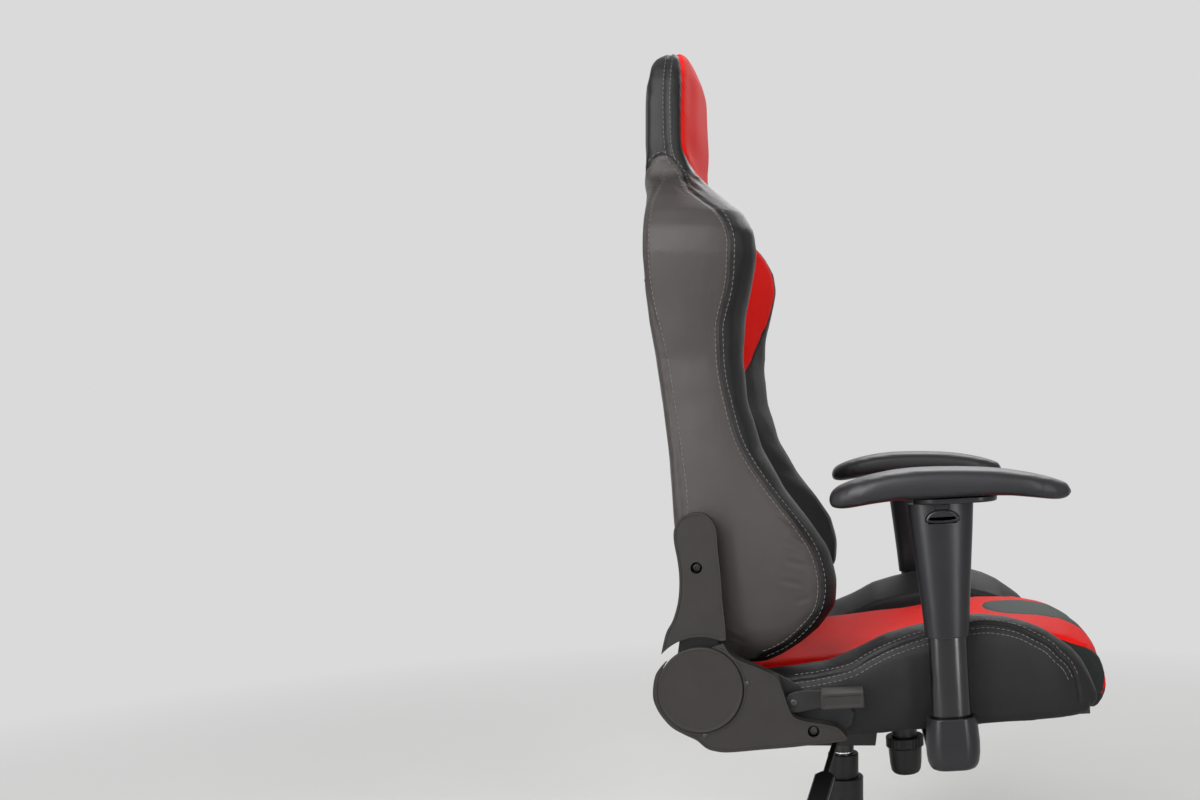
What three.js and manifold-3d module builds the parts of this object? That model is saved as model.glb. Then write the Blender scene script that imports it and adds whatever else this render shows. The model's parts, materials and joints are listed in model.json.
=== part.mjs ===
// Gaming chair with a reclining back, a rocking seat, height-adjustable armrests and a
// five-armed base on twin-wheel casters. Millimetres, +X forward, +Y to the sitter's left, +Z up.
import * as THREE from 'three';
import { mergeVertices } from 'three/addons/utils/BufferGeometryUtils.js';
import Module from 'manifold-3d';

const wasm = await Module();
wasm.setup();

// Clearances and finish of the model
const GAP = 0.4;
const SOFT_GAP = 0.8;
const OVERRUN = 3;
const ROUND_SIDES = 16;
const SMALL_SIDES = 8;
const CAP_SIDES = 28;
const TUBE_END_SIDES = 16;
const MERGE_DISTANCE = 0.0005;
const SLIVER = 0.01;

// Base and casters
const BASE_RADIUS = 290;
const ARM_COUNT = 5;
const HUB_RADIUS = 46;
const HUB_BOTTOM = 62;
const HUB_TOP = 134;
const ARM_ROOT_WIDTH = 56;
const ARM_TIP_WIDTH = 34;
const ARM_TIP_BOTTOM = 74;
const ARM_TIP_HEIGHT = 26;
const ARM_WALL = 5;
const WHEEL_RADIUS = 30;
const WHEEL_WIDTH = 19;
const WHEEL_SIDES = 16;
const AXLE_RADIUS = 4;
const CASTER_TRAIL = 20;
const CASTER_WEB = 9;
const FENDER_WALL = 3;
const FENDER_CLEARANCE = 2.5;
const STEM_RADIUS = 5.5;
const STEM_INSERTION = 22;

// Gas lift
const COLUMN_RADIUS = 25;
const COLUMN_BOTTOM_RADIUS = 23.5;
const COLUMN_FLOOR = 5;
const COLUMN_BOTTOM = 48;
const CHROME_RADIUS = 14;
const CHROME_WALL = 3;
const CHROME_BOTTOM = 128;
const CHROME_TOP = 380;
const PISTON_RADIUS = 5;
const PISTON_TOP = 236;
const VALVE_RADIUS = 3;
const VALVE_HEIGHT = 20;
const VALVE_RISE = 4.5;
const COVER_WALL = 1.6;
const COVER_LIP = 3;
const NARROW_COVER_RADIUS = 20.5;
const NARROW_COVER_TOP = 324;
const MIDDLE_COVER_RADIUS = 27;
const MIDDLE_COVER_TOP = 293;
const WIDE_COVER_RADIUS = 31;
const WIDE_COVER_TOP = 206;
const COLUMN_RISE = 14;
const COLUMN_TOP = WIDE_COVER_TOP + COLUMN_RISE;

// Tilt mechanism
const HOUSING_REAR = -75;
const HOUSING_FRONT = 115;
const HOUSING_HALF_WIDTH = 47;
const HOUSING_WALL = 3;
const HOUSING_BOTTOM = 345;
const HOUSING_TOP = 391;
const HOUSING_REAR_TOP = 366;
const HOUSING_STEP = 24;
const HOUSING_STEP_FRONT = 42;
const SOCKET_RADIUS = 21;
const SOCKET_TOP = 372;
const ROCK_PIN_X = 25;
const ROCK_PIN_Z = 384;
const ROCK_PIN_RADIUS = 5;
const EAR_WALL = 3;
const EAR_HALF_LENGTH = 18;
const LEVER_ROD_RADIUS = 4;
const LEVER_PIVOT_Y = -53;
const LEVER_DROP = 68;
const LEVER_SWEEP = 34;
const PADDLE_LENGTH = 70;
const PADDLE_WIDTH = 26;
const PADDLE_THICKNESS = 9;

// Seat datum: the underside of the seat frame, above the lift, leaning back with the seat
const SEAT_LEAN = THREE.MathUtils.degToRad(3);
const SEAT_DATUM = 405;
const SEAT_PLATE_REAR = -88;
const SEAT_PLATE_FRONT = 118;
const SEAT_PLATE_HALF_WIDTH = 84;
const SEAT_PLATE_WALL = 4;
const TENSION_X = 79;
const TENSION_BOLT_RADIUS = 5;
const KNOB_RADIUS = 26;
const KNOB_NECK_RADIUS = 20.5;
const KNOB_TOP = -62;
const KNOB_HEIGHT = 50;
const KNOB_COLLAR_HEIGHT = 14;
const KNOB_WALL = 3.5;
const KNOB_FLUTES = 12;
const SPRING_RADIUS = 17;
const SPRING_WIRE = 4;

// Seat
const TUBE = 22;
const FRAME_REAR = -128;
const FRAME_FRONT = 262;
const FRAME_HALF_WIDTH = 236;
const SIDE_PADDING = 21;
const RAIL_RISE = 14;
const REAR_BEARER = -60;
const FRONT_BEARER = 96;
const SEAT_REAR = -140;
const SEAT_FRONT = 336;
const SEAT_CROWN = 9;
const SEAT_BOW = 12;
const SEAT_THICKNESS = 96;
const SEAT_HALF_WIDTH = FRAME_HALF_WIDTH + SIDE_PADDING;
const BOLSTER_WIDTH = 107;
const SEAT_SPLIT = SEAT_HALF_WIDTH - BOLSTER_WIDTH;
const LEVER_INSET = 22;
const LEVER_REACH = SEAT_HALF_WIDTH - LEVER_INSET;
const BOLSTER_REAR = -136;
const BOLSTER_FRONT = 295;
const BOLSTER_HEIGHT = 133;

// Recline hinges, placed in the seat's own frame
const HINGE_X = -156;
const HINGE_Z = 74;
const BRACKET_CLEARANCE = 1;
const SEAT_BRACKET_Y = SEAT_HALF_WIDTH + BRACKET_CLEARANCE;
const BRACKET_WALL = 5;
const HINGE_PIN_RADIUS = 8;
const HUB_PLATE_RADIUS = 44;
const CAP_RADIUS = 47.7;
const CAP_DEPTH = 5;
const HINGE_THICKNESS = 28;
const CAP_FACE_Y = SEAT_BRACKET_Y + HINGE_THICKNESS;
const CAP_PROUD = 3;
const LOWER_COVER_Y = CAP_FACE_Y - CAP_PROUD;
const COVER_STEP = 2;
const UPPER_COVER_Y = LOWER_COVER_Y - COVER_STEP;
const COVER_SHELL = 2.5;
const RING_RADIUS = 58.5;
const BOLT_HOLE_RADIUS = 6.5;
const LOWER_COVER_LENGTH = 211;
const LOWER_COVER_HEIGHT = 120;
const LOWER_COVER_BASE = 4;
const UPPER_COVER_HEIGHT = 158;
const UPPER_COVER_WIDTH = 72;
const UPPER_BOLT_Z = 135;
const UPPER_BOLT_X = -5;
const FRONT_BOLT_X = -33;
const FRONT_BOLT_Z = 21;
const LEVER_PIVOT_X = -54;
const LEVER_PIVOT_Z = 52;
const LEVER_PLATE = 5;
const HANDLE_LENGTH = 48;
const HANDLE_HEIGHT = 15;
const HANDLE_DEPTH = 34;

// Back, placed from the hinge axis
const BACK_REAR = -88;
const BACK_DEPTH = 240;
const BACK_BOTTOM = 18;
const BACK_HEIGHT = 752;
const BACK_TOP = BACK_BOTTOM + BACK_HEIGHT;
const BACK_OVERHANG = 5;
const BACK_HALF_WIDTH = SEAT_HALF_WIDTH + BACK_OVERHANG;
const HEAD_JOIN = 600;
const HEAD_JOIN_SHARE = 0.775;
const BACK_COVER_WALL = 8;
const BACK_COVER_CROWN = 12;
const REAR_LIP = 12;
const UPRIGHT_INSET = 57;
const UPRIGHT_Y = BACK_HALF_WIDTH - UPRIGHT_INSET;
const NECK_Y = 70;
const HEAD_LOOP_INSET = 65;
const HEAD_LOOP_TOP = BACK_TOP - HEAD_LOOP_INSET;
const SHOULDER_TUBE_DROP = 80;
const SHOULDER_TUBE_Z = HEAD_JOIN - SHOULDER_TUBE_DROP;
const WAIST_TUBE_Z = 300;
const LOWER_TUBE_Z = 76;
const WING_NOSE = 34;

// Armrests, placed in the seat's own frame
const POST_X = 120.5;
const POST_STANDOFF = 31;
const POST_Y = SEAT_HALF_WIDTH + POST_STANDOFF;
const POST_WIDTH = 43;
const POST_DEPTH = 23;
const POST_TOP = 178;
const FOOT_WALL = 6;
const FOOT_WIDTH = 58;
const FOOT_INNER_Y = 108;
const BOOT_TOP = 32;
const BOOT_BOTTOM = -25;
const BOOT_WIDTH = 60;
const BOOT_DEPTH = 42;
const SLEEVE_BOTTOM = 120;
const SLEEVE_TOP = 268;
const SLEEVE_LOW_WIDTH = 48.5;
const SLEEVE_HIGH_WIDTH = 73;
const SLEEVE_LOW_DEPTH = 29;
const SLEEVE_HIGH_DEPTH = 38;
const SLEEVE_ROOF = 8;
const FLANGE_LENGTH = 94;
const FLANGE_DEPTH = 56;
const FLANGE_WALL = 6;
const FLANGE_SHIFT = 16;
const BUTTON_WIDTH = 36;
const BUTTON_HEIGHT = 13;
const BUTTON_Z = 250;
const BUTTON_TRAVEL = 3;
const PAD_LENGTH = 266;
const PAD_REAR = -3;
const PAD_HEIGHT = 40;
const PAD_BASE = 267;
const PAD_WIDTH = 86;

// Colours and finishes
const finish = (color, roughness, metalness = 0) => new THREE.MeshStandardMaterial({ color, roughness,
  metalness });
const blackNylon = finish(0x1f1f20, 0.55);
const coverPlastic = finish(0x383634, 0.6);
const armPlastic = finish(0x333338, 0.4);
const blackSteel = finish(0x202124, 0.45, 0.7);
const chrome = finish(0xd8d9dc, 0.12, 1);
const zincSteel = finish(0x9a9c9f, 0.35, 0.9);
const blackLeather = finish(0x252526, 0.5);
const sideLeather = finish(0x4a4644, 0.5);
const redLeather = finish(0xc81408, 0.5);
const padFoam = finish(0x2d2d30, 0.55);
const wheelNylon = finish(0x161616, 0.5);

// Shape helpers

function pointsOf(shares, width, height, left = 0, bottom = 0) {
  return shares.map(([across, up]) => new THREE.Vector2(left + across * width, bottom + up * height));
}

function signedVolume(position, index) {
  const [a, b, c] = [new THREE.Vector3(), new THREE.Vector3(), new THREE.Vector3()];
  let sum = 0;
  for (let i = 0; i < index.length; i += 3) {
    a.fromBufferAttribute(position, index[i]);
    b.fromBufferAttribute(position, index[i + 1]);
    c.fromBufferAttribute(position, index[i + 2]);
    sum += a.dot(b.cross(c));
  }
  return sum / 6;
}

// One closed solid from a geometry, its faces turned outwards
function solidOf(geometry) {
  const bare = geometry.clone();
  bare.deleteAttribute('normal');
  bare.deleteAttribute('uv');
  const merged = mergeVertices(bare, MERGE_DISTANCE);
  const corners = [];
  for (let i = 0; i < merged.index.count; i += 3) {
    const triangle = [merged.index.getX(i), merged.index.getX(i + 1), merged.index.getX(i + 2)];
    if (new Set(triangle).size === 3) corners.push(triangle);
  }
  const flip = signedVolume(merged.attributes.position, corners.flat()) < 0;
  const triVerts = Uint32Array.from(corners.flatMap(([a, b, c]) => (flip ? [a, c, b] : [a, b, c])));
  const vertProperties = Float32Array.from(merged.attributes.position.array);
  return new wasm.Manifold(new wasm.Mesh({ numProp: 3, vertProperties, triVerts }));
}

function geometryOf(solid) {
  const mesh = solid.getMesh();
  const geometry = new THREE.BufferGeometry();
  geometry.setAttribute('position', new THREE.BufferAttribute(Float32Array.from(mesh.vertProperties), 3));
  geometry.setIndex(new THREE.BufferAttribute(Uint32Array.from(mesh.triVerts), 1));
  geometry.computeVertexNormals();
  return geometry;
}

const join = (...solids) => solids.reduce((whole, solid) => whole.add(solid));
const cut = (solid, ...tools) => tools.reduce((rest, tool) => rest.subtract(tool), solid);

// A slab of a side outline (x, z), from one y to another
function sideSlab(outline, yLow, yHigh) {
  const settings = { depth: yHigh - yLow, bevelEnabled: false, curveSegments: SMALL_SIDES };
  const shape = outline instanceof THREE.Shape ? outline : new THREE.Shape(outline);
  return solidOf(new THREE.ExtrudeGeometry(shape, settings).rotateX(Math.PI / 2).translate(0, yHigh, 0));
}

// A slab of a plan outline (x, y), from one z to another
function planSlab(outline, zLow, zHigh) {
  const settings = { depth: zHigh - zLow, bevelEnabled: false, curveSegments: SMALL_SIDES };
  const shape = outline instanceof THREE.Shape ? outline : new THREE.Shape(outline);
  return solidOf(new THREE.ExtrudeGeometry(shape, settings).translate(0, 0, zLow));
}

function block(xLow, xHigh, yLow, yHigh, zLow, zHigh) {
  const geometry = new THREE.BoxGeometry(xHigh - xLow, yHigh - yLow, zHigh - zLow);
  return solidOf(geometry.translate((xLow + xHigh) / 2, (yLow + yHigh) / 2, (zLow + zHigh) / 2));
}

// A round bar between two points
function bar(radius, from, to, sides = ROUND_SIDES, endRadius = radius) {
  const run = to.clone().sub(from);
  const geometry = new THREE.CylinderGeometry(endRadius, radius, run.length(), sides);
  geometry.applyQuaternion(new THREE.Quaternion().setFromUnitVectors(new THREE.Vector3(0, 1, 0),
    run.normalize()));
  return solidOf(geometry.translate(...from.clone().add(to).divideScalar(2).toArray()));
}

const uprightBar = (radius, x, y, zLow, zHigh, sides, topRadius) =>
  bar(radius, new THREE.Vector3(x, y, zLow), new THREE.Vector3(x, y, zHigh), sides, topRadius);
const crossBar = (radius, x, z, yLow, yHigh, sides) =>
  bar(radius, new THREE.Vector3(x, yLow, z), new THREE.Vector3(x, yHigh, z), sides);

// A turned solid about the z axis, from a profile of [radius, z]
function turned(profile, sides = ROUND_SIDES) {
  const points = profile.map(([radius, z]) => new THREE.Vector2(radius, z));
  return solidOf(new THREE.LatheGeometry(points, sides).rotateX(Math.PI / 2));
}

// A tube about the z axis: a closed ring of four or more corners
const ring = (profile, sides) => turned([...profile, profile[0]], sides);

// A skin over rings of equally many points, closed at both ends
function loft(rings) {
  const count = rings[0].length;
  const points = rings.flat();
  const middle = (loop) => loop.reduce((sum, p) => sum.add(p), new THREE.Vector3()).divideScalar(count);
  points.push(middle(rings[0]), middle(rings[rings.length - 1]));
  const index = [];
  for (let r = 0; r + 1 < rings.length; r += 1) {
    for (let i = 0; i < count; i += 1) {
      const [a, b] = [r * count + i, r * count + ((i + 1) % count)];
      index.push(a, b, b + count, a, b + count, a + count);
    }
  }
  const last = (rings.length - 1) * count;
  for (let i = 0; i < count; i += 1) {
    const next = (i + 1) % count;
    index.push(next, i, points.length - 2, last + i, last + next, points.length - 1);
  }
  const geometry = new THREE.BufferGeometry().setFromPoints(points);
  geometry.setIndex(index);
  return solidOf(geometry);
}

// A smooth value between stops of [place, value]
function between(stops, place) {
  const last = stops.length - 1;
  if (place <= stops[0][0]) return stops[0][1];
  if (place >= stops[last][0]) return stops[last][1];
  const i = stops.findLastIndex(([at]) => at <= place);
  const slope = (k) => {
    const [before, after] = [stops[Math.max(k - 1, 0)], stops[Math.min(k + 1, last)]];
    return (after[1] - before[1]) / (after[0] - before[0]);
  };
  const [x0, y0] = stops[i];
  const [x1, y1] = stops[i + 1];
  const run = x1 - x0;
  const t = (place - x0) / run;
  const rise = t * t * (3 - 2 * t);
  return y0 + (y1 - y0) * rise + run * (slope(i) * t * (1 - t) ** 2 - slope(i + 1) * t * t * (1 - t));
}

// An outline with flat sides and half-round ends, lying along x
function stadium(width, depth, sides = TUBE_END_SIDES) {
  const straight = (width - depth) / 2;
  return Array.from({ length: sides }, (_, i) => {
    const angle = ((i + 0.5) / sides) * 2 * Math.PI;
    const end = Math.sign(Math.cos(angle)) * straight;
    return new THREE.Vector2(end + (Math.cos(angle) * depth) / 2, (Math.sin(angle) * depth) / 2);
  });
}

const raised = (outline, x, y, z) => outline.map((p) => new THREE.Vector3(p.x + x, p.y + y, z));

// The same outline drawn in by a wall, corner by corner; the outline runs anticlockwise
function drawnIn(outline, wall) {
  return outline.map((corner, i) => {
    const before = outline[(i + outline.length - 1) % outline.length];
    const after = outline[(i + 1) % outline.length];
    const into = corner.clone().sub(before).normalize();
    const out = after.clone().sub(corner).normalize();
    const inward = new THREE.Vector2(-into.y - out.y, into.x + out.x).normalize();
    const spread = Math.max(inward.dot(new THREE.Vector2(-into.y, into.x)), 0.5);
    return corner.clone().addScaledVector(inward, wall / spread);
  });
}

function place(parent, name, solid, material) {
  const mesh = new THREE.Mesh(geometryOf(solid), material);
  mesh.name = name;
  parent.add(mesh);
  return mesh;
}

// Base and casters

function columnRadiusAt(z) {
  const share = THREE.MathUtils.clamp((z - HUB_BOTTOM) / (HUB_TOP - HUB_BOTTOM), 0, 1);
  return THREE.MathUtils.lerp(COLUMN_BOTTOM_RADIUS, COLUMN_RADIUS, share);
}

function baseArm() {
  const rootShares = [[0, 0.1], [0.25, 0.02], [0.8, 0.12], [1, 0.15], [1, 0.46], [0.75, 0.55],
    [0.4, 0.76], [0, 0.97]];
  const outline = pointsOf(rootShares, BASE_RADIUS, HUB_TOP - HUB_BOTTOM, 0, HUB_BOTTOM);
  const halfRoot = ARM_ROOT_WIDTH / 2;
  const geometry = geometryOf(sideSlab(outline, -halfRoot, halfRoot));
  const position = geometry.attributes.position;
  for (let i = 0; i < position.count; i += 1) {
    const taper = THREE.MathUtils.lerp(1, ARM_TIP_WIDTH / ARM_ROOT_WIDTH, position.getX(i) / BASE_RADIUS);
    position.setY(i, position.getY(i) * taper);
  }
  const tipTop = ARM_TIP_BOTTOM + ARM_TIP_HEIGHT;
  const boss = uprightBar(ARM_TIP_WIDTH / 2, BASE_RADIUS, 0, ARM_TIP_BOTTOM - ARM_WALL, tipTop - ARM_WALL);
  const channelShares = [[0.22, -0.1], [0.9, -0.1], [0.9, 0.3], [0.6, 0.42], [0.22, 0.62]];
  const channelHalf = ARM_TIP_WIDTH / 2 - ARM_WALL;
  const channel = pointsOf(channelShares, BASE_RADIUS, HUB_TOP - HUB_BOTTOM, 0, HUB_BOTTOM);
  const stemHole = uprightBar(
    STEM_RADIUS + GAP, BASE_RADIUS, 0, ARM_TIP_BOTTOM - ARM_WALL - OVERRUN,
    ARM_TIP_BOTTOM + STEM_INSERTION - ARM_WALL + GAP, SMALL_SIDES,
  );
  return cut(join(solidOf(geometry), boss), sideSlab(channel, -channelHalf, channelHalf), stemHole);
}

function baseStar() {
  const hub = turned([[0, HUB_BOTTOM], [HUB_RADIUS - ARM_WALL, HUB_BOTTOM],
    [HUB_RADIUS, HUB_BOTTOM + ARM_WALL], [HUB_RADIUS, HUB_TOP - ARM_WALL],
    [HUB_RADIUS - ARM_WALL, HUB_TOP], [0, HUB_TOP]]);
  const arm = baseArm();
  const arms = Array.from({ length: ARM_COUNT }, (_, i) => arm.rotate([0, 0, (i * 360) / ARM_COUNT]));
  const [lowEnd, highEnd] = [HUB_BOTTOM - OVERRUN, HUB_TOP + OVERRUN];
  const bore = uprightBar(columnRadiusAt(HUB_BOTTOM) + GAP, 0, 0, lowEnd, highEnd, ROUND_SIDES,
    columnRadiusAt(HUB_TOP) + GAP);
  return cut(join(hub, ...arms), bore);
}

function casterHood(axleZ) {
  const inner = WHEEL_RADIUS + FENDER_CLEARANCE;
  const outer = inner + FENDER_WALL;
  const [start, end] = [THREE.MathUtils.degToRad(-8), THREE.MathUtils.degToRad(165)];
  const fender = new THREE.Shape();
  fender.absarc(-CASTER_TRAIL, axleZ, outer, start, end, false);
  fender.absarc(-CASTER_TRAIL, axleZ, inner, end, start, true);
  const web = new THREE.Shape();
  web.absarc(-CASTER_TRAIL, axleZ, inner + FENDER_WALL / 2, start, end, false);
  web.lineTo(-CASTER_TRAIL - AXLE_RADIUS * 2, axleZ - AXLE_RADIUS * 2);
  web.lineTo(-CASTER_TRAIL + AXLE_RADIUS * 2, axleZ - AXLE_RADIUS * 2);
  const halfWidth = CASTER_WEB / 2 + GAP + WHEEL_WIDTH + GAP;
  const stemBase = axleZ + inner * 0.8;
  const collarTop = ARM_TIP_BOTTOM - ARM_WALL - GAP;
  return join(
    sideSlab(fender, -halfWidth, halfWidth),
    sideSlab(web, -CASTER_WEB / 2, CASTER_WEB / 2),
    uprightBar(STEM_RADIUS * 1.5, 0, 0, stemBase, collarTop, SMALL_SIDES),
    uprightBar(STEM_RADIUS, 0, 0, stemBase, ARM_TIP_BOTTOM + STEM_INSERTION - ARM_WALL, SMALL_SIDES),
    crossBar(AXLE_RADIUS, -CASTER_TRAIL, axleZ, -halfWidth + GAP, halfWidth - GAP, SMALL_SIDES),
  );
}

function casterWheel() {
  const [half, edge] = [WHEEL_WIDTH / 2, WHEEL_WIDTH / 6];
  const bore = AXLE_RADIUS + GAP;
  const dish = WHEEL_RADIUS * 0.62;
  const profile = [[bore, -half], [WHEEL_RADIUS - edge, -half], [WHEEL_RADIUS, edge - half],
    [WHEEL_RADIUS, half - edge],
    [WHEEL_RADIUS - edge, half], [dish, half], [bore, half - edge]];
  return ring(profile, WHEEL_SIDES).rotate([90, 0, 0]).rotate([0, 180 / WHEEL_SIDES, 0]);
}

function addCasters(parent) {
  const axleZ = WHEEL_RADIUS * Math.cos(Math.PI / WHEEL_SIDES);
  const hood = casterHood(axleZ);
  const wheel = casterWheel();
  const wheelY = CASTER_WEB / 2 + GAP + WHEEL_WIDTH / 2;
  for (let i = 0; i < ARM_COUNT; i += 1) {
    const number = i + 1;
    const caster = new THREE.Group();
    caster.rotation.z = (i * 2 * Math.PI) / ARM_COUNT;
    const spot = new THREE.Group();
    spot.position.x = BASE_RADIUS;
    caster.add(spot);
    place(spot, `caster_hood_${number}`, hood, blackNylon);
    const outerWheel = place(spot, `caster_wheel_${number}_a`, wheel.rotate([180, 0, 0]), wheelNylon);
    outerWheel.position.set(-CASTER_TRAIL, -wheelY, axleZ);
    const innerWheel = place(spot, `caster_wheel_${number}_b`, wheel, wheelNylon);
    innerWheel.position.set(-CASTER_TRAIL, wheelY, axleZ);
    parent.add(caster);
  }
}

// Gas lift

function liftColumn() {
  const bore = CHROME_RADIUS + GAP;
  return ring([[PISTON_RADIUS + GAP, COLUMN_BOTTOM], [columnRadiusAt(HUB_BOTTOM), COLUMN_BOTTOM],
    [columnRadiusAt(HUB_BOTTOM), HUB_BOTTOM], [columnRadiusAt(HUB_TOP), HUB_TOP],
    [COLUMN_RADIUS, COLUMN_TOP], [bore, COLUMN_TOP], [bore, COLUMN_BOTTOM + COLUMN_FLOOR],
    [PISTON_RADIUS + GAP, COLUMN_BOTTOM + COLUMN_FLOOR]]);
}

function pistonRod() {
  const head = CHROME_RADIUS - CHROME_WALL - GAP;
  const seat = COLUMN_BOTTOM + COLUMN_FLOOR + GAP;
  const rod = PISTON_RADIUS;
  return turned([[0, COLUMN_BOTTOM], [rod, COLUMN_BOTTOM], [rod, seat], [rod * 1.6, seat],
    [rod * 1.6, seat + rod], [rod, seat + rod], [rod, PISTON_TOP - rod * 2],
    [head, PISTON_TOP - rod * 2], [head, PISTON_TOP], [0, PISTON_TOP]]);
}

function chromeTube() {
  const bore = CHROME_RADIUS - CHROME_WALL;
  const valveFloor = CHROME_TOP + VALVE_RISE - VALVE_HEIGHT - VALVE_RISE * 1.5;
  const boreTop = valveFloor - VALVE_HEIGHT;
  const rod = turned([[0, CHROME_BOTTOM], [CHROME_RADIUS, CHROME_BOTTOM], [CHROME_RADIUS, CHROME_TOP],
    [0, CHROME_TOP]]);
  return cut(rod, uprightBar(bore, 0, 0, CHROME_BOTTOM - OVERRUN, boreTop), uprightBar(
    VALVE_RADIUS + GAP, 0, 0, valveFloor, CHROME_TOP + OVERRUN, SMALL_SIDES,
  ));
}

function valveButton() {
  const top = CHROME_TOP + VALVE_RISE;
  return uprightBar(VALVE_RADIUS, 0, 0, top - VALVE_HEIGHT, top, SMALL_SIDES);
}

// A telescopic cover: a thin tube with a lip at its top and, but for the widest, a foot flange
function liftCover(radius, bottom, top, lipRadius, footRadius) {
  const inner = radius - COVER_WALL;
  return ring([[inner, bottom], [footRadius, bottom], [footRadius, bottom + COVER_LIP],
    [radius, bottom + COVER_LIP], [radius, top - COVER_WALL], [radius - COVER_WALL, top],
    [lipRadius, top], [lipRadius, top - COVER_LIP], [inner, top - COVER_LIP]]);
}

function narrowCover() {
  const bottom = MIDDLE_COVER_TOP - 2 * COVER_LIP - GAP;
  const foot = MIDDLE_COVER_RADIUS - COVER_WALL - GAP;
  return liftCover(NARROW_COVER_RADIUS, bottom, NARROW_COVER_TOP, CHROME_RADIUS + GAP, foot);
}

function middleCover() {
  const bottom = WIDE_COVER_TOP - 2 * COVER_LIP - GAP;
  const foot = WIDE_COVER_RADIUS - COVER_WALL - GAP;
  return liftCover(MIDDLE_COVER_RADIUS, bottom, MIDDLE_COVER_TOP, NARROW_COVER_RADIUS + GAP, foot);
}

function wideCover() {
  const bottom = HUB_TOP + GAP;
  return liftCover(WIDE_COVER_RADIUS, bottom, WIDE_COVER_TOP, MIDDLE_COVER_RADIUS + GAP,
    WIDE_COVER_RADIUS + COVER_WALL);
}

// Tilt mechanism

function mechanismHousing() {
  const frontFloor = HOUSING_BOTTOM + HOUSING_STEP;
  const corners = [[HOUSING_REAR, HOUSING_BOTTOM], [HOUSING_STEP_FRONT, HOUSING_BOTTOM],
    [HOUSING_STEP_FRONT + HOUSING_WALL, frontFloor], [HOUSING_FRONT, frontFloor],
    [HOUSING_FRONT, HOUSING_TOP], [0, HOUSING_TOP], [HOUSING_REAR, HOUSING_REAR_TOP]];
  const outline = corners.map(([x, z]) => new THREE.Vector2(x, z));
  const inside = drawnIn(outline, HOUSING_WALL);
  inside[4].y = HOUSING_TOP + OVERRUN;
  inside[5].y = HOUSING_TOP + OVERRUN;
  inside[6].y = HOUSING_TOP + OVERRUN;
  const innerHalf = HOUSING_HALF_WIDTH - HOUSING_WALL;
  const shell = cut(sideSlab(outline, -HOUSING_HALF_WIDTH, HOUSING_HALF_WIDTH), sideSlab(inside,
    -innerHalf, innerHalf));
  const socket = uprightBar(SOCKET_RADIUS, 0, 0, HOUSING_BOTTOM, SOCKET_TOP);
  const socketBore = uprightBar(CHROME_RADIUS + GAP, 0, 0, HOUSING_BOTTOM - OVERRUN, SOCKET_TOP + OVERRUN);
  const pinHole = crossBar(ROCK_PIN_RADIUS + GAP, ROCK_PIN_X, ROCK_PIN_Z, -SEAT_PLATE_HALF_WIDTH,
    SEAT_PLATE_HALF_WIDTH, SMALL_SIDES);
  const slotHalf = TENSION_BOLT_RADIUS * 2;
  const slotReach = TENSION_BOLT_RADIUS * 4;
  const boltSlot = block(TENSION_X - slotReach, TENSION_X + slotReach, -slotHalf, slotHalf,
    frontFloor - OVERRUN, frontFloor + 2 * HOUSING_WALL);
  const leverRadius = LEVER_ROD_RADIUS * 2.5;
  const leverWindow = block(-leverRadius, leverRadius, -HOUSING_HALF_WIDTH - OVERRUN,
    OVERRUN - innerHalf, SOCKET_TOP, HOUSING_TOP + OVERRUN);
  return cut(join(shell, socket), socketBore, pinHole, boltSlot, leverWindow);
}

function rockPin() {
  const reach = HOUSING_HALF_WIDTH + GAP + EAR_WALL + ROCK_PIN_RADIUS / 2;
  return crossBar(ROCK_PIN_RADIUS, ROCK_PIN_X, ROCK_PIN_Z, -reach, reach, SMALL_SIDES);
}

// The height lever runs over the valve, out through the side and down to its paddle
function heightLever() {
  const z = CHROME_TOP + VALVE_RISE + GAP + LEVER_ROD_RADIUS;
  const tip = new THREE.Vector3(0, VALVE_RADIUS * 2, z);
  const elbow = new THREE.Vector3(0, LEVER_PIVOT_Y - LEVER_ROD_RADIUS * 3, z);
  const paddleEnd = new THREE.Vector3(-LEVER_SWEEP, -LEVER_REACH, z - LEVER_DROP);
  const run = paddleEnd.clone().sub(elbow).normalize();
  const paddleStart = paddleEnd.clone().addScaledVector(run, -PADDLE_LENGTH);
  const rod = join(
    bar(LEVER_ROD_RADIUS, tip, elbow, SMALL_SIDES),
    solidOf(new THREE.SphereGeometry(LEVER_ROD_RADIUS * 1.02, SMALL_SIDES,
      SMALL_SIDES / 2).translate(...elbow.toArray())),
    bar(LEVER_ROD_RADIUS, elbow, paddleStart.clone().addScaledVector(run, PADDLE_THICKNESS), SMALL_SIDES),
  );
  const outline = stadium(PADDLE_LENGTH, PADDLE_WIDTH, SMALL_SIDES);
  const half = PADDLE_THICKNESS / 2;
  const geometry = geometryOf(loft([
    raised(outline.map((p) => p.clone().multiplyScalar(0.86)), 0, 0, -half),
    raised(outline, 0, 0, -half / 2), raised(outline, 0, 0, half / 2),
    raised(outline.map((p) => p.clone().multiplyScalar(0.86)), 0, 0, half),
  ]));
  const side = new THREE.Vector3(1, 0, 0).cross(run).normalize();
  const turn = new THREE.Matrix4().makeBasis(run, side.clone().cross(run).normalize(), side);
  geometry.applyMatrix4(turn).translate(...paddleStart.lerp(paddleEnd, 0.5).toArray());
  return join(rod, solidOf(geometry));
}

// Parts in the seat's own frame

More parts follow.
